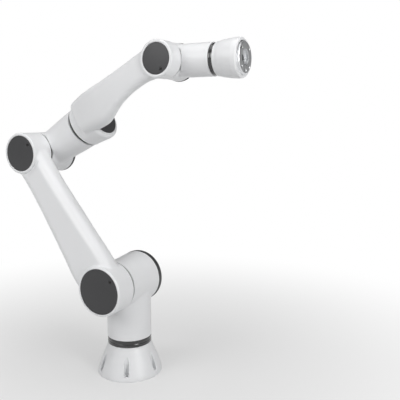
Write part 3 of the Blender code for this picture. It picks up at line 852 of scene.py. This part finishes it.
def make_shoulder():
    """The upright tube that runs into the cross barrel of the second joint."""
    low = RING_HIGH - SHOULDER.z
    tube = turned([
        (0, 0.010),
        (0.0470, 0.010),
        (NECK_RADIUS, -0.010, 0.02),
        (NECK_RADIUS, low - OVERRUN),
        (0, low - OVERRUN),
    ], ring=False)
    barrel = turned([
        (0, SHOULDER_FAR + OVERRUN),
        (SHOULDER_FAR_RIM + 0.0006, SHOULDER_FAR + OVERRUN),
        (SHOULDER_FAR_RIM, SHOULDER_FAR - 0.0020, 0.03),
        (0.0580, 0.0150, 0.05),
        (0.0552, -0.0150, 0.05),
        (SHOULDER_RIM, SHOULDER_NEAR, 0.03),
        (SHOULDER_RIM, SHOULDER_NEAR - OVERRUN),
        (0, SHOULDER_NEAR - OVERRUN),
    ], across(), ring=False)
    housing = casting("shoulder_body", SHOULDER_FRAME, [tube, barrel])
    fillet = bpy.context.scene.arm_looks.rim_fillet
    cut(
        housing,
        rim_cutter(NECK_RADIUS, low, -1, fillet, 0.02, UPRIGHT),
        rim_cutter(SHOULDER_RIM, SHOULDER_NEAR, -1, fillet, 0.02, across()),
        rim_cutter(SHOULDER_FAR_RIM, SHOULDER_FAR, 1, fillet, 0.0016, across()),
        drum(SHOULDER_RIM - WALL, -0.08, 0.08, across()),
        drum(NECK_RADIUS - WALL, low - OVERRUN, -0.0670),
        drum(SHOULDER_FAR - WALL, -0.0680, -0.0400),
    )
    finished(housing, "white_paint", "shoulder", "shoulder_housing")


def end_barrel(radius, near, rear, place):
    """The solid round end of a link, left long for machining."""
    return drum(radius, near - OVERRUN, rear + OVERRUN, place)


def rim_notch(cap_radius, face, place):
    """The small lever slot in the rim, opposite the screw of a cover."""
    half = 0.0032
    sides = (-cap_radius - 0.0018, -cap_radius + 0.0022, -half, half, 0.0015)
    return lofted([(face - 0.01, *sides), (face + 0.0016, *sides)], place=place, smooth=False)


def make_upper_arm():
    """The long link: flat-fronted and deep at the shoulder, slimmer towards the elbow."""
    stations = (
        (0.000, 0.0500, 0.1085, 0.0600, 0.018),
        (0.060, 0.0550, 0.1060, 0.0595, 0.020),
        (0.120, 0.0515, 0.1010, 0.0550, 0.021),
        (0.190, 0.0470, 0.0950, 0.0480, 0.021),
        (0.260, 0.0425, 0.0895, 0.0420, 0.020),
        (0.320, 0.0410, 0.0850, 0.0370, 0.019),
        (UPPER_LENGTH, 0.0430, 0.0815, 0.0330, 0.016),
    )
    link = [(height, -half, half, -near, -rear, radius) for height, half, near, rear, radius in stations]
    elbow = across(z=UPPER_LENGTH)
    arm = casting("upper_arm_body", UPPER_FRAME, [
        end_barrel(ARM_SHOULDER_RADIUS, ARM_NEAR, ARM_REAR, across()),
        end_barrel(ARM_ELBOW_RADIUS, ELBOW_CAP_NEAR, ELBOW_ARM_REAR, elbow),
        lofted(link),
    ])
    depth = far_y("shoulder_cap") - ARM_NEAR + GAP
    fillet = bpy.context.scene.arm_looks.rim_fillet
    cut(
        arm,
        rim_cutter(ARM_SHOULDER_RADIUS, ARM_NEAR, -1, COVER_RIM, 0.012, across()),
        rim_cutter(ARM_ELBOW_RADIUS, ELBOW_CAP_NEAR, -1, COVER_RIM, 0.010, elbow),
        rim_cutter(ARM_SHOULDER_RADIUS, ARM_REAR, 1, fillet, 0.0020, across()),
        rim_cutter(ARM_ELBOW_RADIUS, ELBOW_ARM_REAR, 1, fillet, 0.0018, elbow),
        seat_cutter(SHOULDER_CAP_RADIUS + GAP, ARM_NEAR + depth, ARM_NEAR, -1, across()),
        seat_cutter(ELBOW_CAP_RADIUS + GAP, ELBOW_CAP_NEAR + depth, ELBOW_CAP_NEAR, -1, elbow),
        rim_notch(SHOULDER_CAP_RADIUS, ARM_NEAR, across()),
        rim_notch(ELBOW_CAP_RADIUS, ELBOW_CAP_NEAR, elbow),
        lofted(link, inset=WALL),
        drum(ARM_SHOULDER_BORE, ARM_NEAR + 0.002, 0.0, across()),
        drum(ARM_ELBOW_BORE, ELBOW_CAP_NEAR + 0.002, 0.0, elbow),
    )
    finished(arm, "white_paint", "upper_arm", "upper_arm_shell")


def make_elbow():
    """The cross barrel of the third joint and the tube to the fourth."""
    barrel = turned([
        (0, ELBOW_FAR + OVERRUN),
        (ELBOW_RADIUS + 0.0020, ELBOW_FAR + OVERRUN),
        (ELBOW_RADIUS + 0.0016, ELBOW_FAR - 0.002, 0.02),
        (ELBOW_RADIUS + 0.0008, 0.0150, 0.05),
        (ELBOW_RADIUS, ELBOW_NEAR, 0.02),
        (ELBOW_RADIUS, ELBOW_NEAR - OVERRUN),
        (0, ELBOW_NEAR - OVERRUN),
    ], across(), ring=False)
    beside = Matrix.Translation((0, ROLL_OFFSET, 0))
    tube = turned([
        (0, TUBE_END + OVERRUN),
        (ELBOW_TUBE_RADIUS + 0.0022, TUBE_END + OVERRUN),
        (ELBOW_TUBE_RADIUS + 0.0020, TUBE_END - 0.001, 0.02),
        (ELBOW_TUBE_RADIUS + 0.0010, 0.100, 0.06),
        (ELBOW_TUBE_RADIUS - 0.0030, 0.040, 0.06),
        (ELBOW_TUBE_RADIUS - 0.0060, 0.0),
        (0, 0.0),
    ], beside, ring=False)
    housing = casting("elbow_body", FOREARM_FRAME, [barrel, tube])
    fillet = bpy.context.scene.arm_looks.rim_fillet
    tube_rim = ELBOW_TUBE_RADIUS + 0.0018
    cut(
        housing,
        rim_cutter(ELBOW_RADIUS, ELBOW_NEAR, -1, fillet, 0.0017, across()),
        rim_cutter(ELBOW_RADIUS + 0.0018, ELBOW_FAR, 1, fillet, 0.0014, across()),
        rim_cutter(tube_rim, TUBE_END, 1, fillet, 0.02, beside),
        drum(ELBOW_RADIUS - WALL, -0.1, 0.1, across()),
        drum(ELBOW_TUBE_BORE, 0.050, 0.15, beside),
    )
    finished(housing, "white_paint", "elbow", "elbow_housing")


def make_forearm():
    """The barrel round the fourth joint and the hollow-backed link to the wrist."""
    beside = Matrix.Translation((0, ROLL_OFFSET, 0))
    belly_place = Matrix.Translation((BELLY_DROP, ROLL_OFFSET, 0))
    barrel = drum(BARREL_RADIUS, FOREARM_START - OVERRUN, BARREL_END - 0.030, beside)
    belly = turned([
        (0, BARREL_END + OVERRUN),
        (BELLY_RADIUS, BARREL_END + OVERRUN),
        (BELLY_RADIUS, BARREL_END - 0.014, 0.05),
        (BARREL_RADIUS - BELLY_DROP, FOREARM_START + 0.004),
        (0, FOREARM_START + 0.004),
    ], belly_place, ring=False)
    stations = [
        (0.1560, -0.0480, 0.0320, -0.0450, 0.0020, 0.022),
        (0.1800, -0.0488, 0.0360, -0.0490, -0.0010, 0.021),
        (0.2000, -0.0482, 0.0400, -0.0530, -0.0060, 0.020),
        (0.2300, -0.0450, 0.0430, -0.0575, -0.0150, 0.018),
        (0.2620, -0.0412, 0.0370, -0.0605, -0.0280, 0.016),
        (0.2900, -0.0388, 0.0290, -0.0625, -0.0345, 0.013),
        (0.3250, -0.0376, 0.0235, -0.0640, -0.0360, 0.013),
        (0.3650, -0.0372, 0.0230, -0.0655, -0.0360, 0.013),
        (0.3950, -0.0370, 0.0290, -0.0662, -0.0360, 0.013),
        (FOREARM_LENGTH, -0.0360, 0.0340, -0.0665, -0.0360, 0.013),
    ]
    wrist = across(z=FOREARM_LENGTH)
    end = end_barrel(FOREARM_WRIST_RADIUS, WRIST_CAP_NEAR, WRIST_ARM_REAR, wrist)
    body = casting("forearm_body", FOREARM_FRAME, [barrel, belly, lofted(stations), end])
    fillet = bpy.context.scene.arm_looks.rim_fillet
    depth = far_y("wrist_cap") - WRIST_CAP_NEAR + GAP
    seat_floor = BARREL_END - 0.0048
    end_cut = rim_cutter(BELLY_RADIUS, BARREL_END, 1, BARREL_ROUNDING, 0.004, belly_place, OVERRUN * 2)
    cap_seat = drum(BARREL_CAP_RADIUS + GAP, seat_floor, 0.24, belly_place)
    link_rear = stations[-1][4] + 0.0004
    room_inner, room_outer = FOREARM_WRIST_RADIUS + GAP, 0.055
    wrist_room = turned([
        (room_inner, link_rear), (room_inner, 0), (room_outer, 0), (room_outer, link_rear),
    ], wrist)
    cut(
        body,
        rim_cutter(BARREL_RADIUS, FOREARM_START, -1, fillet, 0.02, beside),
        spared(end_cut, lofted(stations)),
        spared(cap_seat, lofted(stations, inset=-0.0004)),
        rim_cutter(FOREARM_WRIST_RADIUS, WRIST_CAP_NEAR, -1, COVER_RIM, 0.008, wrist),
        rim_cutter(FOREARM_WRIST_RADIUS, WRIST_ARM_REAR, 1, fillet, 0.0012, wrist),
        wrist_room,
        seat_cutter(WRIST_CAP_RADIUS + GAP, WRIST_CAP_NEAR + depth, WRIST_CAP_NEAR, -1, wrist),
        rim_notch(WRIST_CAP_RADIUS, WRIST_CAP_NEAR, wrist),
        drum(BARREL_BORE, 0.12, seat_floor - 0.0030, beside),
        lofted(stations, inset=WALL),
        drum(FOREARM_WRIST_BORE, WRIST_CAP_NEAR + 0.002, -0.02, wrist),
    )
    finished(body, "white_paint", "forearm", "forearm_shell")
    make_forearm_cover(stations, belly_place)


def make_forearm_cover(stations, place):
    """The cover on the barrel's far end, with a bay for the link."""
    low = BARREL_END - 0.0045
    radius = BARREL_CAP_RADIUS
    cover = turned_piece("forearm_end_cover", [
        (0, FOREARM_CAP_TOP), (radius, FOREARM_CAP_TOP, 0.0022), (radius, low, 0.0003), (0, low),
    ], FOREARM_FRAME, place, ring=False)
    cut(cover, lofted(stations, inset=-0.0010))
    finished(cover, "charcoal_plastic", "forearm", "forearm_end_cap")


def make_wrist():
    """The cross barrel of the fifth joint and the tube to the sixth."""
    barrel = turned([
        (0, WRIST_FAR + OVERRUN),
        (WRIST_RADIUS + 0.0024, WRIST_FAR + OVERRUN),
        (WRIST_RADIUS + 0.0022, WRIST_FAR - 0.001, 0.02),
        (WRIST_RADIUS + 0.0008, 0.0, 0.04),
        (WRIST_RADIUS, WRIST_NEAR, 0.02),
        (WRIST_RADIUS, WRIST_NEAR - OVERRUN),
        (0, WRIST_NEAR - OVERRUN),
    ], across(), ring=False)
    tube = drum(WRIST_TUBE_RADIUS, 0.0, WRIST_TUBE_END + OVERRUN)
    housing = casting("wrist_body", WRIST_FRAME, [barrel, tube], grain=0.0010)
    fillet = bpy.context.scene.arm_looks.rim_fillet
    cut(
        housing,
        rim_cutter(WRIST_RADIUS, WRIST_NEAR, -1, fillet, 0.0020, across()),
        rim_cutter(WRIST_RADIUS + 0.0023, WRIST_FAR, 1, fillet, 0.0012, across()),
        rim_cutter(WRIST_TUBE_RADIUS, WRIST_TUBE_END, 1, fillet, 0.02, UPRIGHT),
        drum(WRIST_RADIUS - WALL, -0.08, 0.08, across()),
        drum(WRIST_TUBE_RADIUS - WALL, 0.010, 0.12),
    )
    finished(housing, "white_paint", "wrist", "wrist_housing")


def make_flange():
    """The flared last housing and the bright tool flange in it."""
    bell = turned_piece("flange_body", [
        (FLANGE_RADIUS + GAP + 0.0012, HOUSING_FRONT, 0.0008),
        (0.0372, HOUSING_FRONT, 0.0012),
        (BELL_RADIUS - 0.0004, HOUSING_FRONT - 0.0030, 0.0030),
        (BELL_RADIUS, HOUSING_FRONT - 0.0120, 0.020),
        (0.0388, 0.1330, 0.05),
        (0.0366, 0.1180, 0.04),
        (WRIST_TUBE_RADIUS + 0.0003, FLANGE_START + 0.0060, 0.02),
        (WRIST_TUBE_RADIUS, FLANGE_START, 0.0010),
        (FLANGE_BORE, FLANGE_START),
        (FLANGE_BORE, HOUSING_FRONT - 0.0120),
        (FLANGE_RADIUS + GAP, HOUSING_FRONT - 0.0120),
        (FLANGE_RADIUS + GAP, HOUSING_FRONT - 0.0015, 0.0005),
    ], WRIST_FRAME)
    finished(bell, "white_paint", "flange", "flange_housing")
    recess = 0.0005
    plate = turned_piece("tool_flange_plate", [
        (PILOT_RADIUS, FLANGE_REACH, 0.0005),
        (0.0305, FLANGE_REACH, 0.0003),
        (0.0315, FLANGE_REACH - 0.0010, 0.0003),
        (0.0315, HOUSING_FRONT + recess, 0.0006),
        (FLANGE_RADIUS, HOUSING_FRONT - GAP, 0.0003),
        (FLANGE_RADIUS, FLANGE_BACK),
        (0.0060, FLANGE_BACK),
        (0.0060, FLANGE_REACH - 0.0060, 0.0004),
        (PILOT_RADIUS, FLANGE_REACH - 0.0060, 0.0004),
    ], WRIST_FRAME)
    holes = []
    for index in range(4):
        holes.append(countersunk(0.0025, FLANGE_REACH, 0.0080, spoke(45 + 90 * index, FLANGE_BOLTS)))
    holes.append(countersunk(0.0030, FLANGE_REACH, 0.0060, spoke(0, FLANGE_BOLTS)))
    cut(plate, *holes)
    finished(plate, "machined_aluminium", "flange", "tool_flange", lathe=True)


def countersunk(radius, face, depth, place):
    """A drilled hole with a chamfered mouth."""
    chamfer = 0.0005
    return turned([
        (0, face + 0.01), (radius + chamfer, face + 0.01), (radius + chamfer, face), (radius, face - chamfer),
        (radius, face - depth), (0, face - depth - 0.0008),
    ], place, False, SMALL_TURN)


# ---------------------------------------------------------------- covers, screws and rings


def make_cover(name, placed, radius, near, screw_x, body, nodes):
    """A flat round cover with a softened edge, and its socket screw."""
    rear = near + 0.0035
    cap_node, screw_node = nodes
    cover = turned_piece(name, [
        (0, rear), (radius, rear, 0.0003), (radius, near + 0.0002, 0.0008), (0, near + 0.0002),
    ], placed, across(), ring=False)
    screw_place = across(x=screw_x)
    cut(cover, turned([
        (0, near - 0.01), (0.0042, near - 0.01), (0.0042, near + 0.0002), (0.0032, near + 0.0012),
        (0.0031, rear + 0.01), (0, rear + 0.01),
    ], screw_place, False, SMALL_TURN))
    finished(cover, "charcoal_plastic", body, cap_node)
    head = near + 0.0007
    screw = turned_piece(name + "_screw", [
        (0, rear - GAP), (0.0028, rear - GAP), (0.0028, head, 0.0003), (0, head),
    ], placed, screw_place, ring=False, segments=SMALL_TURN)
    cut(screw, drum(0.0015, head - 0.01, head + 0.0016, screw_place, 6))
    finished(screw, "black_screw", body, screw_node)


def make_covers():
    wrist_frame = FOREARM_FRAME @ Matrix.Translation((0, 0, FOREARM_LENGTH))
    elbow_frame = UPPER_FRAME @ Matrix.Translation((0, 0, UPPER_LENGTH))
    make_cover("shoulder_cover", UPPER_FRAME, SHOULDER_CAP_RADIUS, ARM_NEAR, 0.0405, "upper_arm",
               ("shoulder_cap", "shoulder_cap_screw"))
    make_cover("elbow_cover", elbow_frame, ELBOW_CAP_RADIUS, ELBOW_CAP_NEAR, 0.0320, "upper_arm",
               ("elbow_cap", "elbow_cap_screw"))
    make_cover("wrist_cover", wrist_frame, WRIST_CAP_RADIUS, WRIST_CAP_NEAR, 0.0235, "forearm",
               ("wrist_cap", "wrist_cap_screw"))


def make_far_cover(name, placed, node, radius, body):
    """A deep domed cover on the far end of a cross barrel."""
    seat, crown = near_y(node), far_y(node)
    depth = crown - seat
    wall = 0.003
    cover = turned_piece(name, [
        (0, crown),
        (radius * 0.60, crown - depth * 0.04, 0.06),
        (radius * 0.93, crown - depth * 0.22, 0.02),
        (radius * 0.995, seat + depth * 0.50, 0.012),
        (radius, seat + 0.0010, 0.002),
        (radius - 0.0010, seat, 0.0004),
        (radius - wall, seat),
        (radius * 0.97 - wall, seat + depth * 0.35),
        (radius * 0.60, crown - depth * 0.18 - wall),
        (0, crown - wall),
    ], placed, across(), ring=False)
    finished(cover, "charcoal_plastic", body, node)


def make_far_covers():
    make_far_cover("shoulder_far_cover", SHOULDER_FRAME, "shoulder_far_cap", SHOULDER_FAR_RADIUS, "shoulder")
    make_far_cover("elbow_far_cover", FOREARM_FRAME, "elbow_far_cap", ELBOW_FAR_RADIUS, "elbow")
    make_far_cover("wrist_far_cover", WRIST_FRAME, "wrist_far_cap", WRIST_FAR_RADIUS, "wrist")


def make_ring(name, placed, inner, outer, low, high, body, node):
    """A polished ring with two lands and a shallow groove between them."""
    middle = (low + high) / 2
    land = (high - low) * 0.08
    ring = turned_piece(name, [
        (outer, high - GAP, 0.0004),
        (outer, middle + land, 0.0003),
        (outer - 0.0006, middle, 0.0003),
        (outer, middle - land, 0.0003),
        (outer, low + GAP, 0.0004),
        (inner, low + GAP),
        (inner, high - GAP),
    ], placed)
    finished(ring, "dark_ring", body, node, lathe=True)


def make_rings():
    beside = Matrix.Translation((0, ROLL_OFFSET, 0))
    make_ring("first_joint_ring", UPRIGHT, 0.0450, NECK_RADIUS - GAP, RING_LOW, RING_HIGH,
              "base", "joint1_ring")
    make_ring("second_joint_ring", Matrix.Translation(SHOULDER) @ ACROSS, 0.0472, 0.0515,
              ARM_REAR, SHOULDER_NEAR, "shoulder", "joint2_ring")
    make_ring("third_joint_ring", Matrix.Translation(ELBOW) @ ACROSS, 0.0400, 0.0445,
              ELBOW_ARM_REAR, ELBOW_NEAR, "elbow", "joint3_ring")
    make_ring("fourth_joint_ring", FOREARM_FRAME @ beside, 0.0412, 0.0452,
              TUBE_END, FOREARM_START, "elbow", "joint4_ring")
    make_ring("fifth_joint_ring", Matrix.Translation(WRIST) @ ACROSS, 0.0310, 0.0345,
              WRIST_ARM_REAR, WRIST_NEAR, "wrist", "joint5_ring")
    make_ring("sixth_joint_ring", WRIST_FRAME, 0.0292, 0.0325,
              WRIST_TUBE_END, FLANGE_START, "wrist", "joint6_ring")


def dress_drives():
    """Give each drive inside a joint, which stays as it was drawn, its own metal."""
    for subpart in frame["record"]["subparts"]:
        node = frame["nodes"][subpart["node"]]
        node.data.materials.clear()
        node.data.materials.append(finishes()[subpart["material_slot"]])


# ---------------------------------------------------------------- stage


def make_floor():
    """A wide floor that shows the arm's shadow and fades to white away from it."""
    shape = bmesh.new()
    bmesh.ops.create_circle(shape, cap_ends=True, segments=96, radius=12.0)
    floor = piece_from("floor", shape, Matrix.Translation((0, 0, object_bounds()[0].z)))
    floor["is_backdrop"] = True
    stage = bpy.context.scene.arm_stage
    finish = Finish("floor_white", {
        "Base Color": (*stage.floor_colour, 1), "Roughness": 0.85, "Specular IOR Level": 0.1,
    })
    place = finish.place()
    distance = finish.node("ShaderNodeVectorMath", {"operation": "LENGTH"}, {0: place})["Value"]
    far = finish.node("ShaderNodeMapRange", {"interpolation_type": "SMOOTHSTEP"},
                      {"Value": distance, "From Min": 0.15, "From Max": 1.20, "To Min": 0.42})["Result"]
    rays = finish.node("ShaderNodeLightPath", {}, {})
    seen = far * (rays["Is Camera Ray"] + rays["Is Glossy Ray"])
    white = finish.node("ShaderNodeEmission", {}, {"Color": (1, 1, 1, 1), "Strength": 1.0})["Emission"]
    plain = Value(finish, finish.shader.outputs["BSDF"])
    mixed = finish.node("ShaderNodeMixShader", {}, {0: seen, 1: plain, 2: white})["Shader"]
    finish.tree.links.new(mixed.socket, finish.tree.nodes["Material Output"].inputs["Surface"])
    floor.data.materials.append(finish.material)


def make_world():
    """Even light all round, seen as plain white, and dim overhead in reflections."""
    stage = bpy.context.scene.arm_stage
    world = bpy.data.worlds.new("studio")
    bpy.context.scene.world = world
    world.use_nodes = True
    nodes = Nodes(world.node_tree)
    background = nodes.tree.nodes["Background"]
    background.inputs["Color"].default_value = (1, 1, 1, 1)
    rays = nodes.node("ShaderNodeLightPath", {}, {})
    sky = nodes.node("ShaderNodeTexCoord", {}, {})["Generated"]
    height = nodes.node("ShaderNodeSeparateXYZ", {}, {"Vector": sky})["Z"]
    dimmed = (1.0 - height * stage.sky_falloff).at_least(ZENITH_LEVEL)
    seen = rays["Is Camera Ray"].at_least(rays["Is Transmission Ray"])
    strength = seen.at_least(dimmed * stage.ambient)
    nodes.tree.links.new(strength.socket, background.inputs["Strength"])


def make_lamp(name, power, size, place, aim):
    """A soft rectangular lamp that points at a place."""
    data = bpy.data.lights.new(name, "AREA")
    data.shape = "RECTANGLE"
    data.size, data.size_y = size
    data.energy = power
    lamp = bpy.data.objects.new(name, data)
    bpy.context.scene.collection.objects.link(lamp)
    lamp.location = place
    lamp.rotation_euler = (Vector(aim) - Vector(place)).to_track_quat("-Z", "Y").to_euler()


def make_camera():
    stage = bpy.context.scene.arm_stage
    right = Vector((math.cos(stage.azimuth), math.sin(stage.azimuth), 0))
    ahead = Vector((
        -math.sin(stage.azimuth) * math.cos(stage.elevation),
        math.cos(stage.azimuth) * math.cos(stage.elevation),
        -math.sin(stage.elevation),
    ))
    data = bpy.data.cameras.new("view")
    data.lens = stage.lens
    data.sensor_width = 36.0
    camera = bpy.data.objects.new("view", data)
    bpy.context.scene.collection.objects.link(camera)
    aim = right * stage.aim_side + Vector((0, 0, stage.aim_height))
    camera.location = aim - ahead * stage.distance
    camera.rotation_euler = ahead.to_track_quat("-Z", "Y").to_euler()
    bpy.context.scene.camera = camera


def set_stage():
    stage = bpy.context.scene.arm_stage
    middle = (CAD_BOX[0] + CAD_BOX[1]) / 2
    make_floor()
    make_world()
    make_lamp("overhead", stage.overhead_power, (2.4, 2.4), (0.0, -0.3, 3.4), middle)
    make_lamp("front", stage.front_power, (1.6, 1.2), (-0.8, -2.0, 1.5), middle)
    make_lamp("side", stage.side_power, (0.5, 1.6), (1.8, -0.6, 1.0), middle)
    make_camera()
    bpy.context.scene.view_settings.view_transform = "Standard"


# ---------------------------------------------------------------- add-on


class ARM_OT_dress_drives(bpy.types.Operator):
    """Give the drives inside the joints their metals"""
    bl_idname = "arm_looks.dress_drives"
    bl_label = "Drives"

    def execute(self, context):
        dress_drives()
        return {"FINISHED"}


class ARM_OT_foot(bpy.types.Operator):
    """Make the slotted foot, its floor plate and its cable socket"""
    bl_idname = "arm_looks.foot"
    bl_label = "Foot"

    def execute(self, context):
        make_foot()
        return {"FINISHED"}


class ARM_OT_shoulder(bpy.types.Operator):
    """Make the shoulder casting"""
    bl_idname = "arm_looks.shoulder"
    bl_label = "Shoulder"

    def execute(self, context):
        make_shoulder()
        return {"FINISHED"}


class ARM_OT_upper_arm(bpy.types.Operator):
    """Make the upper arm casting"""
    bl_idname = "arm_looks.upper_arm"
    bl_label = "Upper arm"

    def execute(self, context):
        make_upper_arm()
        return {"FINISHED"}


class ARM_OT_elbow(bpy.types.Operator):
    """Make the elbow casting"""
    bl_idname = "arm_looks.elbow"
    bl_label = "Elbow"

    def execute(self, context):
        make_elbow()
        return {"FINISHED"}


class ARM_OT_forearm(bpy.types.Operator):
    """Make the forearm casting and its end cover"""
    bl_idname = "arm_looks.forearm"
    bl_label = "Forearm"

    def execute(self, context):
        make_forearm()
        return {"FINISHED"}


class ARM_OT_wrist(bpy.types.Operator):
    """Make the wrist casting"""
    bl_idname = "arm_looks.wrist"
    bl_label = "Wrist"

    def execute(self, context):
        make_wrist()
        return {"FINISHED"}


class ARM_OT_flange(bpy.types.Operator):
    """Make the last housing and the tool flange"""
    bl_idname = "arm_looks.flange"
    bl_label = "Flange"

    def execute(self, context):
        make_flange()
        return {"FINISHED"}


class ARM_OT_covers(bpy.types.Operator):
    """Make the flat covers with their screws, and the domed far covers"""
    bl_idname = "arm_looks.covers"
    bl_label = "Covers"

    def execute(self, context):
        make_covers()
        make_far_covers()
        return {"FINISHED"}


class ARM_OT_rings(bpy.types.Operator):
    """Make the polished rings in the joint grooves"""
    bl_idname = "arm_looks.rings"
    bl_label = "Rings"

    def execute(self, context):
        make_rings()
        return {"FINISHED"}


class ARM_OT_stage(bpy.types.Operator):
    """Set the floor, the lamps and the camera"""
    bl_idname = "arm_looks.stage"
    bl_label = "Stage"

    def execute(self, context):
        set_stage()
        return {"FINISHED"}


OPERATORS = (
    ARM_OT_dress_drives,
    ARM_OT_foot,
    ARM_OT_shoulder,
    ARM_OT_upper_arm,
    ARM_OT_elbow,
    ARM_OT_forearm,
    ARM_OT_wrist,
    ARM_OT_flange,
    ARM_OT_covers,
    ARM_OT_rings,
    ARM_OT_stage,
)


class ARM_PT_looks(bpy.types.Panel):
    """Shows the arm's colours, finish and softening, the stage settings, and a button that makes each piece
    """
    bl_idname = "ARM_PT_looks"
    bl_label = "Robot Arm"
    bl_space_type = "VIEW_3D"
    bl_region_type = "UI"
    bl_category = "Robot Arm"

    def draw(self, context):
        for group in (context.scene.arm_looks, context.scene.arm_stage):
            column = self.layout.column(align=True)
            for name in group.__annotations__:
                column.prop(group, name)
        column = self.layout.column(align=True)
        for operator in OPERATORS:
            column.operator(operator.bl_idname)


CLASSES = (ArmLooks, StageLooks, *OPERATORS, ARM_PT_looks)


def register():
    for each in CLASSES:
        bpy.utils.register_class(each)
    bpy.types.Scene.arm_looks = bpy.props.PointerProperty(type=ArmLooks)
    bpy.types.Scene.arm_stage = bpy.props.PointerProperty(type=StageLooks)


def unregister():
    del bpy.types.Scene.arm_stage
    del bpy.types.Scene.arm_looks
    for each in reversed(CLASSES):
        bpy.utils.unregister_class(each)


def main():
    register()
    bpy.ops.arm_looks.dress_drives()
    bpy.ops.arm_looks.foot()
    bpy.ops.arm_looks.shoulder()
    bpy.ops.arm_looks.upper_arm()
    bpy.ops.arm_looks.elbow()
    bpy.ops.arm_looks.forearm()
    bpy.ops.arm_looks.wrist()
    bpy.ops.arm_looks.flange()
    bpy.ops.arm_looks.covers()
    bpy.ops.arm_looks.rings()
    bpy.ops.arm_looks.stage()


if __name__ == "__main__":
    main()
